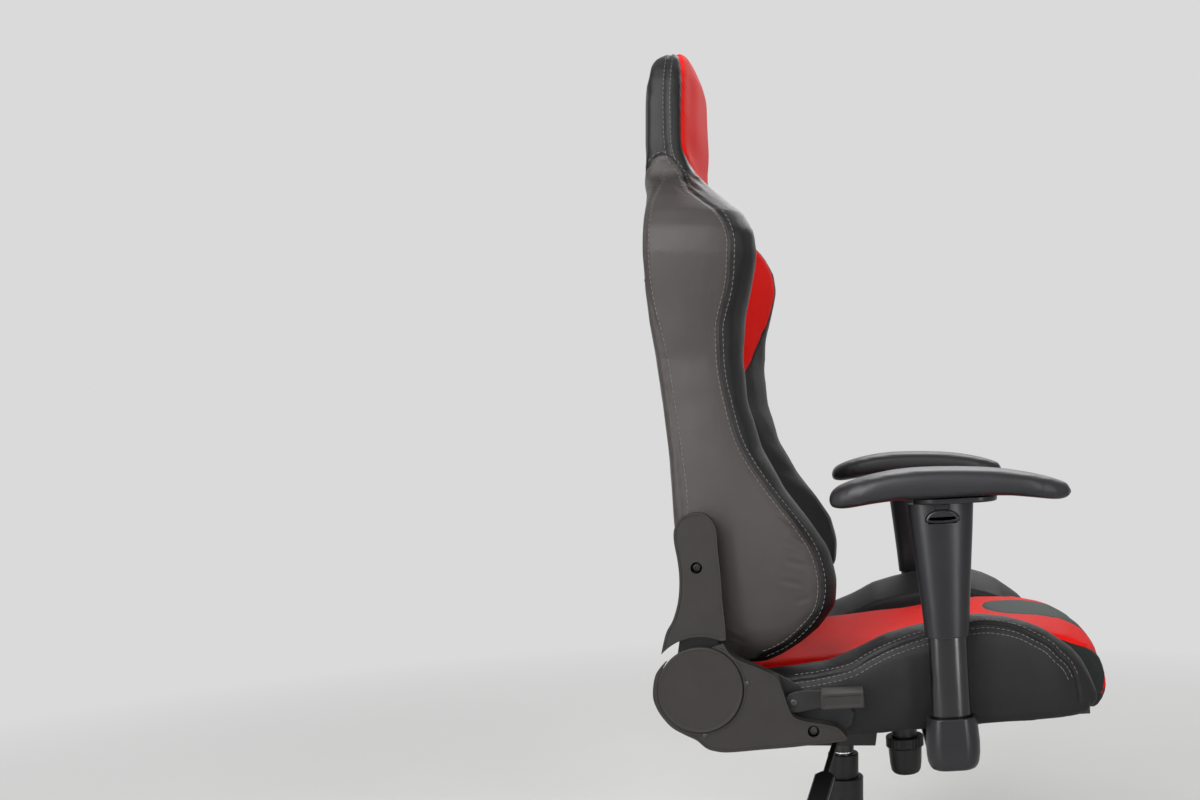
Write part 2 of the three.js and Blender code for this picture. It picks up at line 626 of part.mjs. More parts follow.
function seatPlate() {
  const top = -GAP;
  const bottom = top - SEAT_PLATE_WALL;
  const plate = block(SEAT_PLATE_REAR, SEAT_PLATE_FRONT, -SEAT_PLATE_HALF_WIDTH, SEAT_PLATE_HALF_WIDTH,
    bottom, top);
  const pin = pinInSeat();
  const earBottom = pin.z - ROCK_PIN_RADIUS * 2;
  const earInner = HOUSING_HALF_WIDTH + GAP;
  const earLow = pin.x - EAR_HALF_LENGTH;
  const earHigh = pin.x + EAR_HALF_LENGTH;
  const ears = [-1, 1].map((side) => {
    const faces = [side * earInner, side * (earInner + EAR_WALL)].sort((a, b) => a - b);
    return block(earLow, earHigh, ...faces, earBottom, top - SEAT_PLATE_WALL / 2);
  });
  const pinHole = crossBar(ROCK_PIN_RADIUS + GAP, pin.x, pin.z, -SEAT_PLATE_HALF_WIDTH,
    SEAT_PLATE_HALF_WIDTH, SMALL_SIDES);
  const bolt = uprightBar(TENSION_BOLT_RADIUS, TENSION_X, 0, KNOB_TOP - KNOB_HEIGHT / 2,
    top - SEAT_PLATE_WALL / 2, SMALL_SIDES);
  return cut(join(plate, ...ears, bolt), pinHole);
}

function pinInSeat() {
  const toPin = new THREE.Vector3(ROCK_PIN_X, 0, ROCK_PIN_Z - SEAT_DATUM);
  return toPin.applyAxisAngle(new THREE.Vector3(0, 1, 0), SEAT_LEAN);
}

function tensionKnob() {
  const bottom = KNOB_TOP - KNOB_HEIGHT;
  const cup = SPRING_RADIUS + SPRING_WIRE;
  const shoulder = KNOB_TOP - KNOB_COLLAR_HEIGHT;
  const bore = TENSION_BOLT_RADIUS + GAP;
  const floor = bottom + KNOB_HEIGHT / 2;
  const lowRadius = KNOB_NECK_RADIUS * 0.9;
  const body = ring([[cup, KNOB_TOP], [KNOB_RADIUS, KNOB_TOP], [KNOB_RADIUS, shoulder],
    [KNOB_NECK_RADIUS + KNOB_WALL / 2, shoulder - KNOB_WALL],
    [KNOB_NECK_RADIUS, bottom + KNOB_WALL], [lowRadius, bottom], [bore, bottom], [bore, floor],
    [cup - KNOB_WALL, floor], [cup, floor + KNOB_WALL]]);
  const flute = uprightBar(KNOB_WALL / 2, KNOB_RADIUS + KNOB_WALL / 4, 0, shoulder - OVERRUN,
    KNOB_TOP + OVERRUN, 6);
  const flutes = Array.from({ length: KNOB_FLUTES }, (_, i) => flute.rotate([0, 0,
    (i * 360) / KNOB_FLUTES]));
  return cut(body, ...flutes).translate([TENSION_X, 0, 0]);
}

function rockSpring() {
  const lean = Math.sin(SEAT_LEAN) * (TENSION_X + SPRING_RADIUS);
  const frontFloor = HOUSING_BOTTOM + HOUSING_STEP - SEAT_DATUM - lean;
  const floor = KNOB_TOP - KNOB_HEIGHT / 2 + KNOB_WALL;
  const [outer, inner] = [SPRING_RADIUS, SPRING_RADIUS - SPRING_WIRE];
  return ring([[inner, floor + GAP], [outer, floor + GAP], [outer, frontFloor - GAP],
    [inner, frontFloor - GAP]]).translate([TENSION_X, 0, 0]);
}

// The steel tubes under the seat, grown by a clearance when they cut the foam. The side rails
// rise a little towards the front; the two rear cross tubes reach out to the recline hinges
function seatFrame(grow = 0) {
  const front = FRAME_FRONT + TUBE;
  const railCorners = [[FRAME_REAR - grow, -grow], [front + grow, RAIL_RISE - grow], [front + grow,
    RAIL_RISE + TUBE + grow],
    [FRAME_REAR - grow, TUBE + grow]].map(([x, z]) => new THREE.Vector2(x, z));
  const [outer, inner] = [FRAME_HALF_WIDTH + grow, FRAME_HALF_WIDTH - TUBE - grow];
  const frontLift = (RAIL_RISE * (FRAME_FRONT - FRAME_REAR)) / (front - FRAME_REAR);
  const hingeReach = SEAT_BRACKET_Y - GAP;
  const across = (x, lift = 0, reach = FRAME_HALF_WIDTH) =>
    block(x - grow, x + TUBE + grow, -reach, reach, lift - grow, lift + TUBE + grow);
  return join(
    sideSlab(railCorners, -outer, -inner),
    sideSlab(railCorners, inner, outer),
    across(FRAME_REAR, 0, hingeReach),
    across(REAR_BEARER, 0, hingeReach),
    across(FRONT_BEARER),
    across(FRAME_FRONT, frontLift),
  );
}

const seatSideShares = [[0, 0.1], [0, 0.6], [0.025, 0.72], [0.16, 0.79], [0.31, 0.83], [0.51, 0.91],
  [0.71, 0.98], [0.83, 0.95], [0.9, 0.88],
  [0.947, 0.76], [0.977, 0.61], [0.995, 0.44], [1, 0.29], [0.992, 0.1], [0.97, -0.03], [0.937, -0.07],
  [0.885, -0.05], [0.84, 0.01],
  [0.77, 0.09], [0.4, 0.1]];

// The seat's middle: one side outline carried across the seat, crowned on top and bowed at the front
function seatCushion() {
  const length = SEAT_FRONT - SEAT_REAR;
  const outline = pointsOf(seatSideShares, length, SEAT_THICKNESS, SEAT_REAR).reverse();
  const inset = drawnIn(outline, SEAT_CROWN / 2);
  const half = SEAT_SPLIT - SOFT_GAP / 2;
  const rings = [-1, -0.97, -0.8, -0.5, -0.2, 0.2, 0.5, 0.8, 0.97, 1].map((share) => {
    const loop = Math.abs(share) === 1 ? inset : outline;
    return loop.map((p) => {
      const height = Math.max(p.y / SEAT_THICKNESS, 0);
      const frontWeight = (Math.max(p.x, 0) / SEAT_FRONT) ** 2;
      const x = p.x - SEAT_BOW * share * share * frontWeight;
      return new THREE.Vector3(x, share * half, p.y + SEAT_CROWN * (1 - share * share) * height);
    });
  });
  return cut(loft(rings), seatFrame(SOFT_GAP));
}

const bolsterTopShares = [[0, 0.53], [0.03, 0.58], [0.12, 0.61], [0.21, 0.63], [0.32, 0.7], [0.43, 0.86],
  [0.54, 0.94], [0.69, 1],
  [0.78, 0.95], [0.86, 0.85], [0.91, 0.73], [0.95, 0.62], [0.975, 0.5], [0.99, 0.38], [1, 0.3]];
const bolsterBottomShares = [[0, 0.03], [0.35, 0.04], [0.75, 0.08], [0.95, 0.09], [0.98, 0.12], [1, 0.19]];
const bolsterSectionShares = [[0, 0], [0.5, 0], [0.95, 0], [0.99, 0.06], [1, 0.3], [1, 0.55],
  [0.99, 0.78], [0.95, 0.9], [0.86, 0.97], [0.74, 1], [0.6, 0.985], [0.42, 0.93], [0.22, 0.86],
  [0.05, 0.8]];

function seatBolster(side) {
  const length = BOLSTER_FRONT - BOLSTER_REAR;
  const shares = [0, 0.03, 0.1, 0.2, 0.28, 0.36, 0.44, 0.52, 0.6, 0.69, 0.76, 0.82, 0.87, 0.91, 0.94,
    0.965, 0.985, 1];
  const inner = SEAT_SPLIT + SOFT_GAP / 2;
  const rings = shares.map((share) => {
    const x = BOLSTER_REAR + share * length;
    const nose = share > 0.82 ? ((share - 0.82) / 0.18) ** 2 : 0;
    const width = SEAT_HALF_WIDTH - inner - nose * BOLSTER_HEIGHT * 0.2;
    const top = between(bolsterTopShares, share) * BOLSTER_HEIGHT;
    const bottom = between(bolsterBottomShares, share) * BOLSTER_HEIGHT;
    return bolsterSectionShares.map(([across, up]) =>
      new THREE.Vector3(x, side * (inner + across * width), bottom + up * (top - bottom)));
  });
  return cut(loft(rings), seatFrame(SOFT_GAP));
}

// Recline hinges; each is made for the sitter's left and mirrored for the right

const onSide = (solid, side) => (side > 0 ? solid : solid.mirror([0, 1, 0]));

function seatBracket(side) {
  const shares = [[-0.1, 0.21], [0.08, 0.06], [0.45, 0.04], [0.72, 0.07], [0.785, 0.15], [0.8, 0.25],
    [0.77, 0.35], [0.71, 0.39], [0.58, 0.4],
    [0.5, 0.55], [0.4, 0.66], [0.21, 0.83], [0.08, 0.93], [-0.1, 0.9]];
  const outline = pointsOf(shares, LOWER_COVER_LENGTH, LOWER_COVER_HEIGHT, HINGE_X, LOWER_COVER_BASE);
  const [low, high] = [SEAT_BRACKET_Y, SEAT_BRACKET_Y + BRACKET_WALL];
  const plate = join(sideSlab(outline, low, high), crossBar(HUB_PLATE_RADIUS, HINGE_X, HINGE_Z, low, high));
  const pin = crossBar(HINGE_PIN_RADIUS, HINGE_X, HINGE_Z, low, high + BRACKET_WALL + 2 * GAP);
  const leverPin = crossBar(HINGE_PIN_RADIUS / 2, LEVER_PIVOT_X, LEVER_PIVOT_Z, low,
    leverY() + LEVER_PLATE, SMALL_SIDES);
  return onSide(side < 0 ? join(plate, pin, leverPin) : join(plate, pin), side);
}

const leverY = () => SEAT_BRACKET_Y + 2 * BRACKET_WALL + 3 * GAP;
const backBracketY = () => SEAT_BRACKET_Y + BRACKET_WALL + GAP;

const lowerCoverShares = [[0.29, 0], [0.34, 0.01], [0.42, 0], [0.55, 0.01], [0.72, 0.015], [0.87, 0.03],
  [1, 0.045], [1, 0.11], [0.967, 0.17], [0.924, 0.185], [0.796, 0.24], [0.744, 0.275], [0.725, 0.325],
  [0.71, 0.41], [0.687, 0.53], [0.663, 0.65], [0.573, 0.75], [0.469, 0.83], [0.417, 0.91],
  [0.385, 0.99], [0.2, 0.85], [0.005, 0.55], [0.01, 0.46], [0.05, 0.35], [0.095, 0.25], [0.161, 0.175],
  [0.237, 0.125]];

function lowerCover(side) {
  const outline = pointsOf(lowerCoverShares, LOWER_COVER_LENGTH, LOWER_COVER_HEIGHT,
    HINGE_X - LOWER_COVER_LENGTH * 0.26, LOWER_COVER_BASE);
  const low = backBracketY() - GAP / 2;
  const sweep = UPPER_COVER_Y - LOWER_COVER_Y + leverY() - GAP;
  const shell = sideSlab(outline, low, LOWER_COVER_Y);
  const hole = crossBar(CAP_RADIUS + GAP, HINGE_X, HINGE_Z, low - OVERRUN, LOWER_COVER_Y + OVERRUN,
    CAP_SIDES);
  const hollow = cut(
    sideSlab(drawnIn(outline, COVER_SHELL), low - OVERRUN, LOWER_COVER_Y - COVER_SHELL),
    crossBar(CAP_RADIUS + GAP + COVER_SHELL, HINGE_X, HINGE_Z, low - 2 * OVERRUN, LOWER_COVER_Y, CAP_SIDES),
  );
  const bracketSweep = crossBar(RING_RADIUS + COVER_SHELL, HINGE_X, HINGE_Z, low - OVERRUN,
    sweep + BRACKET_WALL / 2, CAP_SIDES);
  const openTop = sideSlab(pointsOf([[-1, -0.1], [0.3, 0.4], [0.38, 1.4], [-1, 1.4]], CAP_RADIUS,
    CAP_RADIUS, HINGE_X, HINGE_Z), low - OVERRUN, LOWER_COVER_Y + OVERRUN);
  const boltHole = crossBar(BOLT_HOLE_RADIUS, FRONT_BOLT_X, FRONT_BOLT_Z, low - OVERRUN,
    LOWER_COVER_Y + OVERRUN, SMALL_SIDES);
  const slotHalf = HANDLE_HEIGHT * 1.5;
  const leverSlot = block(LEVER_PIVOT_X - HANDLE_HEIGHT * 2, LEVER_PIVOT_X + HANDLE_LENGTH,
    leverY() - OVERRUN, leverY() + LEVER_PLATE + OVERRUN,
    LEVER_PIVOT_Z - slotHalf, LEVER_PIVOT_Z + slotHalf);
  return onSide(cut(shell, hollow, hole, bracketSweep, openTop, boltHole,
    ...(side < 0 ? [leverSlot] : [])), side);
}

function hingeCap(side) {
  const edge = CAP_DEPTH / 3;
  const rim = CAP_FACE_Y - CAP_DEPTH;
  const bossBottom = SEAT_BRACKET_Y + 2 * BRACKET_WALL + 3 * GAP;
  const cap = turned([[0, bossBottom], [HINGE_PIN_RADIUS, bossBottom], [HINGE_PIN_RADIUS, rim],
    [CAP_RADIUS, rim],
    [CAP_RADIUS, CAP_FACE_Y - edge], [CAP_RADIUS - edge, CAP_FACE_Y], [0, CAP_FACE_Y]], CAP_SIDES);
  return onSide(cap.rotate([-90, 0, 0]).translate([HINGE_X, 0, HINGE_Z]), side);
}

// The lever's pawl tail lies under the cover, its plate passes the slot, its handle points forward
function reclineLever() {
  const [low, high] = [leverY(), leverY() + LEVER_PLATE];
  const hub = HANDLE_HEIGHT * 0.6;
  const handleLeft = LEVER_PIVOT_X + HANDLE_LENGTH * 0.62;
  const armShares = [[-0.65, 0.35], [0, -0.6], [0.62, -0.35], [0.66, 0.95], [0, 0.6], [-0.65, 0.75]];
  const arm = sideSlab(pointsOf(armShares, HANDLE_LENGTH, HANDLE_HEIGHT, LEVER_PIVOT_X, LEVER_PIVOT_Z),
    low, high);
  const disc = crossBar(hub, LEVER_PIVOT_X, LEVER_PIVOT_Z, low, high, SMALL_SIDES);
  const corner = HANDLE_HEIGHT / 5;
  const cornerShares = [[0, 0], [1, 0], [1, 1], [0, 1]];
  const box = pointsOf(cornerShares, HANDLE_LENGTH, HANDLE_HEIGHT, handleLeft, LEVER_PIVOT_Z - corner);
  const handle = sideSlab(box, low - LEVER_PLATE / 2, low + HANDLE_DEPTH - corner);
  const nose = sideSlab(drawnIn(box, corner / 2), low, low + HANDLE_DEPTH);
  const pivotHole = crossBar(HINGE_PIN_RADIUS / 2 + GAP, LEVER_PIVOT_X, LEVER_PIVOT_Z, low - OVERRUN,
    high + OVERRUN, SMALL_SIDES);
  return cut(join(arm, disc, handle, nose), pivotHole).mirror([0, 1, 0]);
}

// Back, placed from the hinge axis

const rearShares = [[0, 0.49], [0.02, 0.37], [0.05, 0.28], [0.09, 0.25], [0.14, 0.25], [0.23, 0.217],
  [0.32, 0.196], [0.45, 0.138], [0.555, 0.088],
  [0.63, 0.075], [0.7, 0.07], [0.775, 0.04], [0.83, 0.013], [0.9, 0.013], [0.95, 0.02], [0.975, 0.045],
  [0.99, 0.08], [1, 0.15]];
const wingFrontShares = [[0, 0.66], [0.01, 0.74], [0.03, 0.83], [0.05, 0.9], [0.075, 0.97], [0.1, 0.993],
  [0.125, 0.993], [0.15, 0.985],
  [0.18, 0.945], [0.22, 0.86], [0.28, 0.72], [0.34, 0.62], [0.4, 0.56], [0.45, 0.537], [0.49, 0.535],
  [0.54, 0.552], [0.58, 0.577],
  [0.63, 0.605], [0.66, 0.595], [0.69, 0.55], [0.71, 0.495], [0.74, 0.395], [0.76, 0.33], [0.775, 0.295]];
const halfWidthShares = [[0, 0.84], [0.02, 0.9], [0.06, 0.945], [0.13, 0.965], [0.22, 0.965],
  [0.32, 0.95], [0.46, 0.93], [0.57, 0.965], [0.63, 0.99], [0.67, 0.975], [0.7, 0.9], [0.73, 0.76],
  [0.755, 0.62], [0.775, 0.53], [0.82, 0.53], [0.9, 0.53], [0.94, 0.505], [0.965, 0.455], [0.985, 0.38],
  [1, 0.25]];
const splitShares = [[0, 0.57], [0.15, 0.57], [0.32, 0.535], [0.47, 0.49], [0.6, 0.495], [0.7, 0.475],
  [0.775, 0.44]];
const panelFrontShares = [[0, 0.6], [0.12, 0.6], [0.23, 0.55], [0.33, 0.48], [0.47, 0.4], [0.58, 0.35],
  [0.7, 0.31], [0.775, 0.275]];
const headFrontShares = [[0.775, 0.285], [0.785, 0.255], [0.8, 0.235], [0.825, 0.218], [0.93, 0.212],
  [0.955, 0.212], [0.975, 0.205], [0.99, 0.195],
  [1, 0.175]];

// Shares of the height run to the head's join, and from there to the top
const heightStops = [[BACK_BOTTOM, 0], [HEAD_JOIN, HEAD_JOIN_SHARE], [BACK_TOP, 1]];
function inRuns(runs, value, from, to) {
  const [start, end] = value < runs[1][from] ? runs.slice(0, 2) : runs.slice(1);
  return start[to] + ((value - start[from]) * (end[to] - start[to])) / (end[from] - start[from]);
}
const heightShare = (z) => inRuns(heightStops, z, 0, 1);
const levelAt = (share) => inRuns(heightStops, share, 1, 0);
const across = (stops, z) => BACK_REAR + between(stops, heightShare(z)) * BACK_DEPTH;
const rearAt = (z) => across(rearShares, z);
const halfWidthAt = (z) => between(halfWidthShares, heightShare(z)) * BACK_HALF_WIDTH;
const splitAt = (z) => between(splitShares, heightShare(z)) * BACK_HALF_WIDTH;

const bodyShares = [0, 0.01, 0.03, 0.055, 0.09, 0.13, 0.175, 0.22, 0.27, 0.33, 0.4, 0.47, 0.53, 0.58,
  0.63, 0.665, 0.695, 0.72, 0.745, 0.765];
const bodyLevels = [...bodyShares.map(levelAt), HEAD_JOIN];
const headShares = [0.785, 0.8, 0.83, 0.9, 0.93, 0.955, 0.975, 0.99, 1];
const COVERED_LEVELS = 6;
const headLevels = [HEAD_JOIN, ...headShares.map(levelAt)];

// The steel tubes in the back; as a cutting tool they are grown and run out through the rear
function backFrame(grow = 0, rearRun = 0) {
  const near = BACK_COVER_WALL + SOFT_GAP;
  const tube = (zLow, zHigh, yLow, yHigh) => {
    const count = Math.max(2, Math.round((zHigh - zLow) / (TUBE * 2)));
    const levels = Array.from({ length: count + 1 }, (_,
      i) => zLow - grow + ((zHigh - zLow + 2 * grow) * i) / count);
    const rear = levels.map((z) => new THREE.Vector2(rearAt(z) + near + GAP - rearRun, z));
    const front = levels.map((z) => new THREE.Vector2(rearAt(z) + near + GAP + TUBE + grow, z)).reverse();
    return sideSlab([...rear, ...front].reverse(), yLow - grow, yHigh + grow);
  };
  const outer = UPRIGHT_Y + TUBE;
  const neck = NECK_Y + TUBE;
  return join(
    tube(LOWER_TUBE_Z - TUBE, SHOULDER_TUBE_Z, UPRIGHT_Y, outer),
    tube(LOWER_TUBE_Z - TUBE, SHOULDER_TUBE_Z, -outer, -UPRIGHT_Y),
    tube(LOWER_TUBE_Z, LOWER_TUBE_Z + TUBE, -outer, outer),
    tube(WAIST_TUBE_Z, WAIST_TUBE_Z + TUBE, -outer, outer),
    tube(SHOULDER_TUBE_Z - TUBE, SHOULDER_TUBE_Z, -outer, outer),
    tube(SHOULDER_TUBE_Z - TUBE, HEAD_LOOP_TOP, NECK_Y, neck),
    tube(SHOULDER_TUBE_Z - TUBE, HEAD_LOOP_TOP, -neck, -NECK_Y),
    tube(HEAD_LOOP_TOP - TUBE, HEAD_LOOP_TOP, -neck, neck),
  );
}

const foamGroove = () => backFrame(SOFT_GAP, BACK_COVER_WALL);

// The bosses through which the hinges are bolted to the uprights
const bracketBolts = (radius, yLow, yHigh) => [UPPER_BOLT_Z, UPPER_BOLT_Z - TUBE * 2].map((z) =>
  crossBar(radius, UPPER_BOLT_X, z, yLow, yHigh, SMALL_SIDES));
const BOSS_RADIUS = BOLT_HOLE_RADIUS * 1.2;

// A side wing: flat where it meets the centre, rounded at its nose
function backWing(side) {
  const rings = bodyLevels.map((z) => {
    const rear = rearAt(z) + BACK_COVER_WALL + SOFT_GAP;
    const front = across(wingFrontShares, z);
    const panel = Math.min(across(panelFrontShares, z), front - SOFT_GAP);
    const [inner, outer] = [splitAt(z) + SOFT_GAP / 2, halfWidthAt(z)];
    const [depth, width] = [front - rear, outer - inner];
    const nose = Math.min(WING_NOSE, width * 0.45, (front - panel) * 0.9 + SOFT_GAP);
    const lip = rear - BACK_COVER_WALL;
    const corners = [
      [rear, inner], [rear, outer - REAR_LIP], [lip, outer - REAR_LIP], [lip, outer - REAR_LIP / 2],
      [lip + REAR_LIP / 3, outer - REAR_LIP / 6], [rear + depth * 0.3, outer], [rear + depth * 0.6,
        outer], [front - nose * 0.9, outer - nose * 0.06], [front - nose * 0.35, outer - nose * 0.3],
      [front - nose * 0.06, outer - nose * 0.75], [front, outer - nose * 1.15], [front - nose * 0.12,
        outer - nose * 1.6],
      [THREE.MathUtils.lerp(front, panel, 0.55), THREE.MathUtils.lerp(outer - nose * 1.7, inner, 0.55)],
      [panel + SOFT_GAP, inner + width * 0.04], [panel - depth * 0.02, inner],
    ];
    return corners.map(([x, y]) => new THREE.Vector3(x, side * y, z));
  });
  const bossHoles = bracketBolts(BOSS_RADIUS + SOFT_GAP, UPRIGHT_Y, BACK_HALF_WIDTH);
  return cut(loft(rings), foamGroove(), ...bossHoles.map((hole) => onSide(hole, side)));
}

function backCushion() {
  const levels = bodyLevels.slice(2);
  const rings = levels.map((z, i) => {
    const rear = rearAt(z) + BACK_COVER_WALL + SOFT_GAP;
    const front = Math.min(across(panelFrontShares, z), across(wingFrontShares, z));
    const half = splitAt(z) - SOFT_GAP / 2;
    const crown = SEAT_CROWN * Math.min(1, i / 2, (levels.length - 1 - i) / 2);
    const face = [-1, -0.94, -0.75, -0.5, -0.25, 0, 0.25, 0.5, 0.75, 0.94, 1].map((share) => {
      const drop = Math.abs(share) === 1 ? SEAT_CROWN / 2 : 0;
      return new THREE.Vector3(front - drop + crown * (1 - share * share), share * half, z);
    });
    return [...face, new THREE.Vector3(rear, half, z), new THREE.Vector3(rear, 0, z),
      new THREE.Vector3(rear, -half, z)];
  });
  return cut(loft(rings), foamGroove());
}

function headCushion() {
  const rings = headLevels.map((level, i) => {
    const z = i === 0 ? level + SOFT_GAP : level;
    const rear = rearAt(level) + (i < COVERED_LEVELS ? BACK_COVER_WALL + SOFT_GAP : 0);
    const front = across(headFrontShares, level);
    const half = halfWidthAt(level);
    const edge = (front - rear) * 0.3;
    const lip = (half - REAR_LIP) / half;
    const behind = i < COVERED_LEVELS ? rear - BACK_COVER_WALL : rear;
    const face = [[rear, lip], [behind, (lip * 3 + 1) / 4], [behind + edge / 3, 0.99], [rear + edge, 1],
      [front - edge, 1], [front - edge * 0.35, 0.96], [front, 0.86],
      [front + edge * 0.15, 0.5], [front + edge * 0.2, 0]];
    const right = face.map(([x, share]) => new THREE.Vector3(x, -share * half, z));
    const left = face.slice(0, -1).reverse().map(([x, share]) => new THREE.Vector3(x, share * half, z));
    return [...right, ...left, new THREE.Vector3(rear, 0, z)];
  });
  return cut(loft(rings), foamGroove()).simplify(SLIVER);
}

function backCover() {
  const levels = [...bodyLevels.slice(3), ...headLevels.slice(1, COVERED_LEVELS)];
  const rings = levels.map((z) => {
    const half = halfWidthAt(z) - REAR_LIP - SOFT_GAP;
    const [outside, inside] = [rearAt(z), rearAt(z) + BACK_COVER_WALL];
    const sideShares = [-1, -0.98, -0.7, -0.35, 0, 0.35, 0.7, 0.98, 1];
    const outer = sideShares.map((share) => {
      const lift = Math.abs(share) === 1 ? BACK_COVER_WALL / 2 : 0;
      const crown = Math.min(BACK_COVER_CROWN, half / 10) * (1 - share * share);
      return new THREE.Vector3(outside + lift - crown, share * half, z);
    });
    const inner = [1, 0, -1].map((share) => new THREE.Vector3(inside, share * half, z));
    return [...outer, ...inner];
  });
  return loft(rings);
}

function backBracket(side) {
  const [low, high] = [backBracketY(), backBracketY() + BRACKET_WALL];
  const armShares = [[-0.42, 0.1], [0.26, 0.1], [0.26, 0.5], [0.17, 1.06], [0.08, 1.12], [-0.2, 1.12],
    [-0.3, 1.06], [-0.3, 0.5]];
  const arm = sideSlab(pointsOf(armShares, UPPER_COVER_WIDTH, UPPER_COVER_HEIGHT), low, high);
  const plate = join(arm, crossBar(HUB_PLATE_RADIUS, 0, 0, low, high));
  const bosses = bracketBolts(BOSS_RADIUS, UPRIGHT_Y + TUBE + GAP, high);
  const pinHole = crossBar(HINGE_PIN_RADIUS + GAP, 0, 0, low - OVERRUN, high + OVERRUN);
  return onSide(cut(join(plate, ...bosses), pinHole), side);
}

function upperCover(side) {
  const outlineShares = [[-0.61, 0.16], [0.39, 0.16], [0.39, 0.3], [0.36, 0.5], [0.32, 0.74],
    [0.27, 0.94], [0.245, 1.06], [0.18, 1.165], [0.06, 1.225], [-0.1, 1.235], [-0.27, 1.225],
    [-0.38, 1.16], [-0.415, 1.06], [-0.37, 0.92], [-0.335, 0.78], [-0.335, 0.68], [-0.37, 0.58],
    [-0.44, 0.48], [-0.53, 0.4], [-0.6, 0.3]];
  const low = backBracketY() + BRACKET_WALL + GAP;
  const outline = pointsOf(outlineShares, UPPER_COVER_WIDTH, UPPER_COVER_HEIGHT);
  const shell = sideSlab(outline, low, UPPER_COVER_Y);
  const hollow = cut(
    sideSlab(drawnIn(outline, COVER_SHELL), low - OVERRUN, UPPER_COVER_Y - COVER_SHELL),
    crossBar(RING_RADIUS + COVER_SHELL, 0, 0, low - 2 * OVERRUN, UPPER_COVER_Y, CAP_SIDES),
  );
  const ringCut = crossBar(RING_RADIUS, 0, 0, low - OVERRUN, UPPER_COVER_Y + OVERRUN, CAP_SIDES);
  const boltHole = crossBar(BOLT_HOLE_RADIUS, UPPER_BOLT_X, UPPER_BOLT_Z, low, UPPER_COVER_Y + OVERRUN,
    SMALL_SIDES);
  return onSide(cut(shell, hollow, ringCut, boltHole), side);
}

// Armrests, made for the sitter's left and mirrored for the right

function armBracket(side) {
  const footTop = -GAP;
  const footBottom = footTop - FOOT_WALL;
  const outline = stadium(POST_WIDTH, POST_DEPTH);
  const post = loft([raised(outline, POST_X, POST_Y, footBottom), raised(outline, POST_X, POST_Y,
    POST_TOP)]);
  const half = FOOT_WIDTH / 2;
  const foot = block(POST_X - half, POST_X + half, FOOT_INNER_Y, POST_Y, footBottom, footTop);
  return onSide(join(post, foot), side);
}

function armBoot(side) {
  const [low, high] = [stadium(BOOT_WIDTH * 0.86, BOOT_DEPTH * 0.86), stadium(BOOT_WIDTH * 0.9,
    BOOT_DEPTH * 0.9)];
  const full = stadium(BOOT_WIDTH, BOOT_DEPTH);
  const height = BOOT_TOP - BOOT_BOTTOM;
  const body = loft([raised(low, POST_X, POST_Y, BOOT_BOTTOM), raised(full, POST_X, POST_Y,
    BOOT_BOTTOM + height * 0.12),
    raised(full, POST_X, POST_Y, BOOT_BOTTOM + height * 0.4), raised(high, POST_X, POST_Y, BOOT_TOP)]);
  const grown = stadium(POST_WIDTH + 2 * GAP, POST_DEPTH + 2 * GAP);
  const floor = -FOOT_WALL - 2 * GAP;
  const well = loft([raised(grown, POST_X, POST_Y, floor), raised(grown, POST_X, POST_Y,
    BOOT_TOP + OVERRUN)]);
  const half = FOOT_WIDTH / 2 + GAP;
  const slot = block(POST_X - half, POST_X + half, POST_Y - BOOT_DEPTH, POST_Y, floor, GAP);
  const seatSide = block(POST_X - BOOT_WIDTH, POST_X + BOOT_WIDTH, POST_Y - BOOT_DEPTH,
    SEAT_HALF_WIDTH + SOFT_GAP, BOOT_BOTTOM - OVERRUN, BOOT_TOP + OVERRUN);
  return onSide(cut(body, well, slot, seatSide), side);
}

const buttonShape = (width, height, x, z) => {
  const shape = new THREE.Shape();
  shape.moveTo(x - width / 2, z);
  shape.lineTo(x + width / 2, z);
  shape.absellipse(x, z, width / 2, height, 0, Math.PI, false, 0);
  return shape;
};

const buttonFaceY = () => POST_Y + SLEEVE_HIGH_DEPTH / 2;

function armSleeve(side) {
  const low = stadium(SLEEVE_LOW_WIDTH, SLEEVE_LOW_DEPTH);
  const high = stadium(SLEEVE_HIGH_WIDTH, SLEEVE_HIGH_DEPTH);
  const body = loft([raised(low, POST_X, POST_Y, SLEEVE_BOTTOM), raised(high, POST_X, POST_Y,
    SLEEVE_TOP + GAP)]);
  const halfLength = FLANGE_LENGTH / 2;
  const flange = planSlab(stadium(FLANGE_LENGTH, FLANGE_DEPTH), SLEEVE_TOP,
    SLEEVE_TOP + FLANGE_WALL).translate([POST_X + FLANGE_SHIFT, POST_Y, 0]);
  const bore = stadium(POST_WIDTH + 2 * GAP, POST_DEPTH + 2 * GAP);
  const well = loft([raised(bore, POST_X, POST_Y, SLEEVE_BOTTOM - OVERRUN), raised(bore, POST_X, POST_Y,
    SLEEVE_TOP - SLEEVE_ROOF)]);
  const recess = sideSlab(
    buttonShape(BUTTON_WIDTH + 2 * GAP, BUTTON_HEIGHT + 2 * GAP, POST_X, BUTTON_Z - GAP),
    POST_Y - BUTTON_TRAVEL - GAP, buttonFaceY() + OVERRUN,
  );
  return onSide(cut(join(body, flange), well, recess), side);
}

function armButton(side) {
  const face = buttonFaceY() - BUTTON_TRAVEL / 3;
  return onSide(sideSlab(buttonShape(BUTTON_WIDTH, BUTTON_HEIGHT, POST_X, BUTTON_Z), POST_Y, face), side);
}

const padTopShares = [[0, 0.3], [0.02, 0.55], [0.06, 0.68], [0.14, 0.85], [0.3, 1.02], [0.47, 1.03],
  [0.64, 0.96], [0.76, 0.86], [0.88, 0.68],
  [0.96, 0.5], [0.99, 0.4], [1, 0.25]];
const padBottomShares = [[0, 0.15], [0.03, 0.03], [0.13, 0.08], [0.22, 0.165], [0.35, 0.185],
  [0.71, 0.185], [0.84, 0.08], [0.96, -0.02], [1, 0.1]];

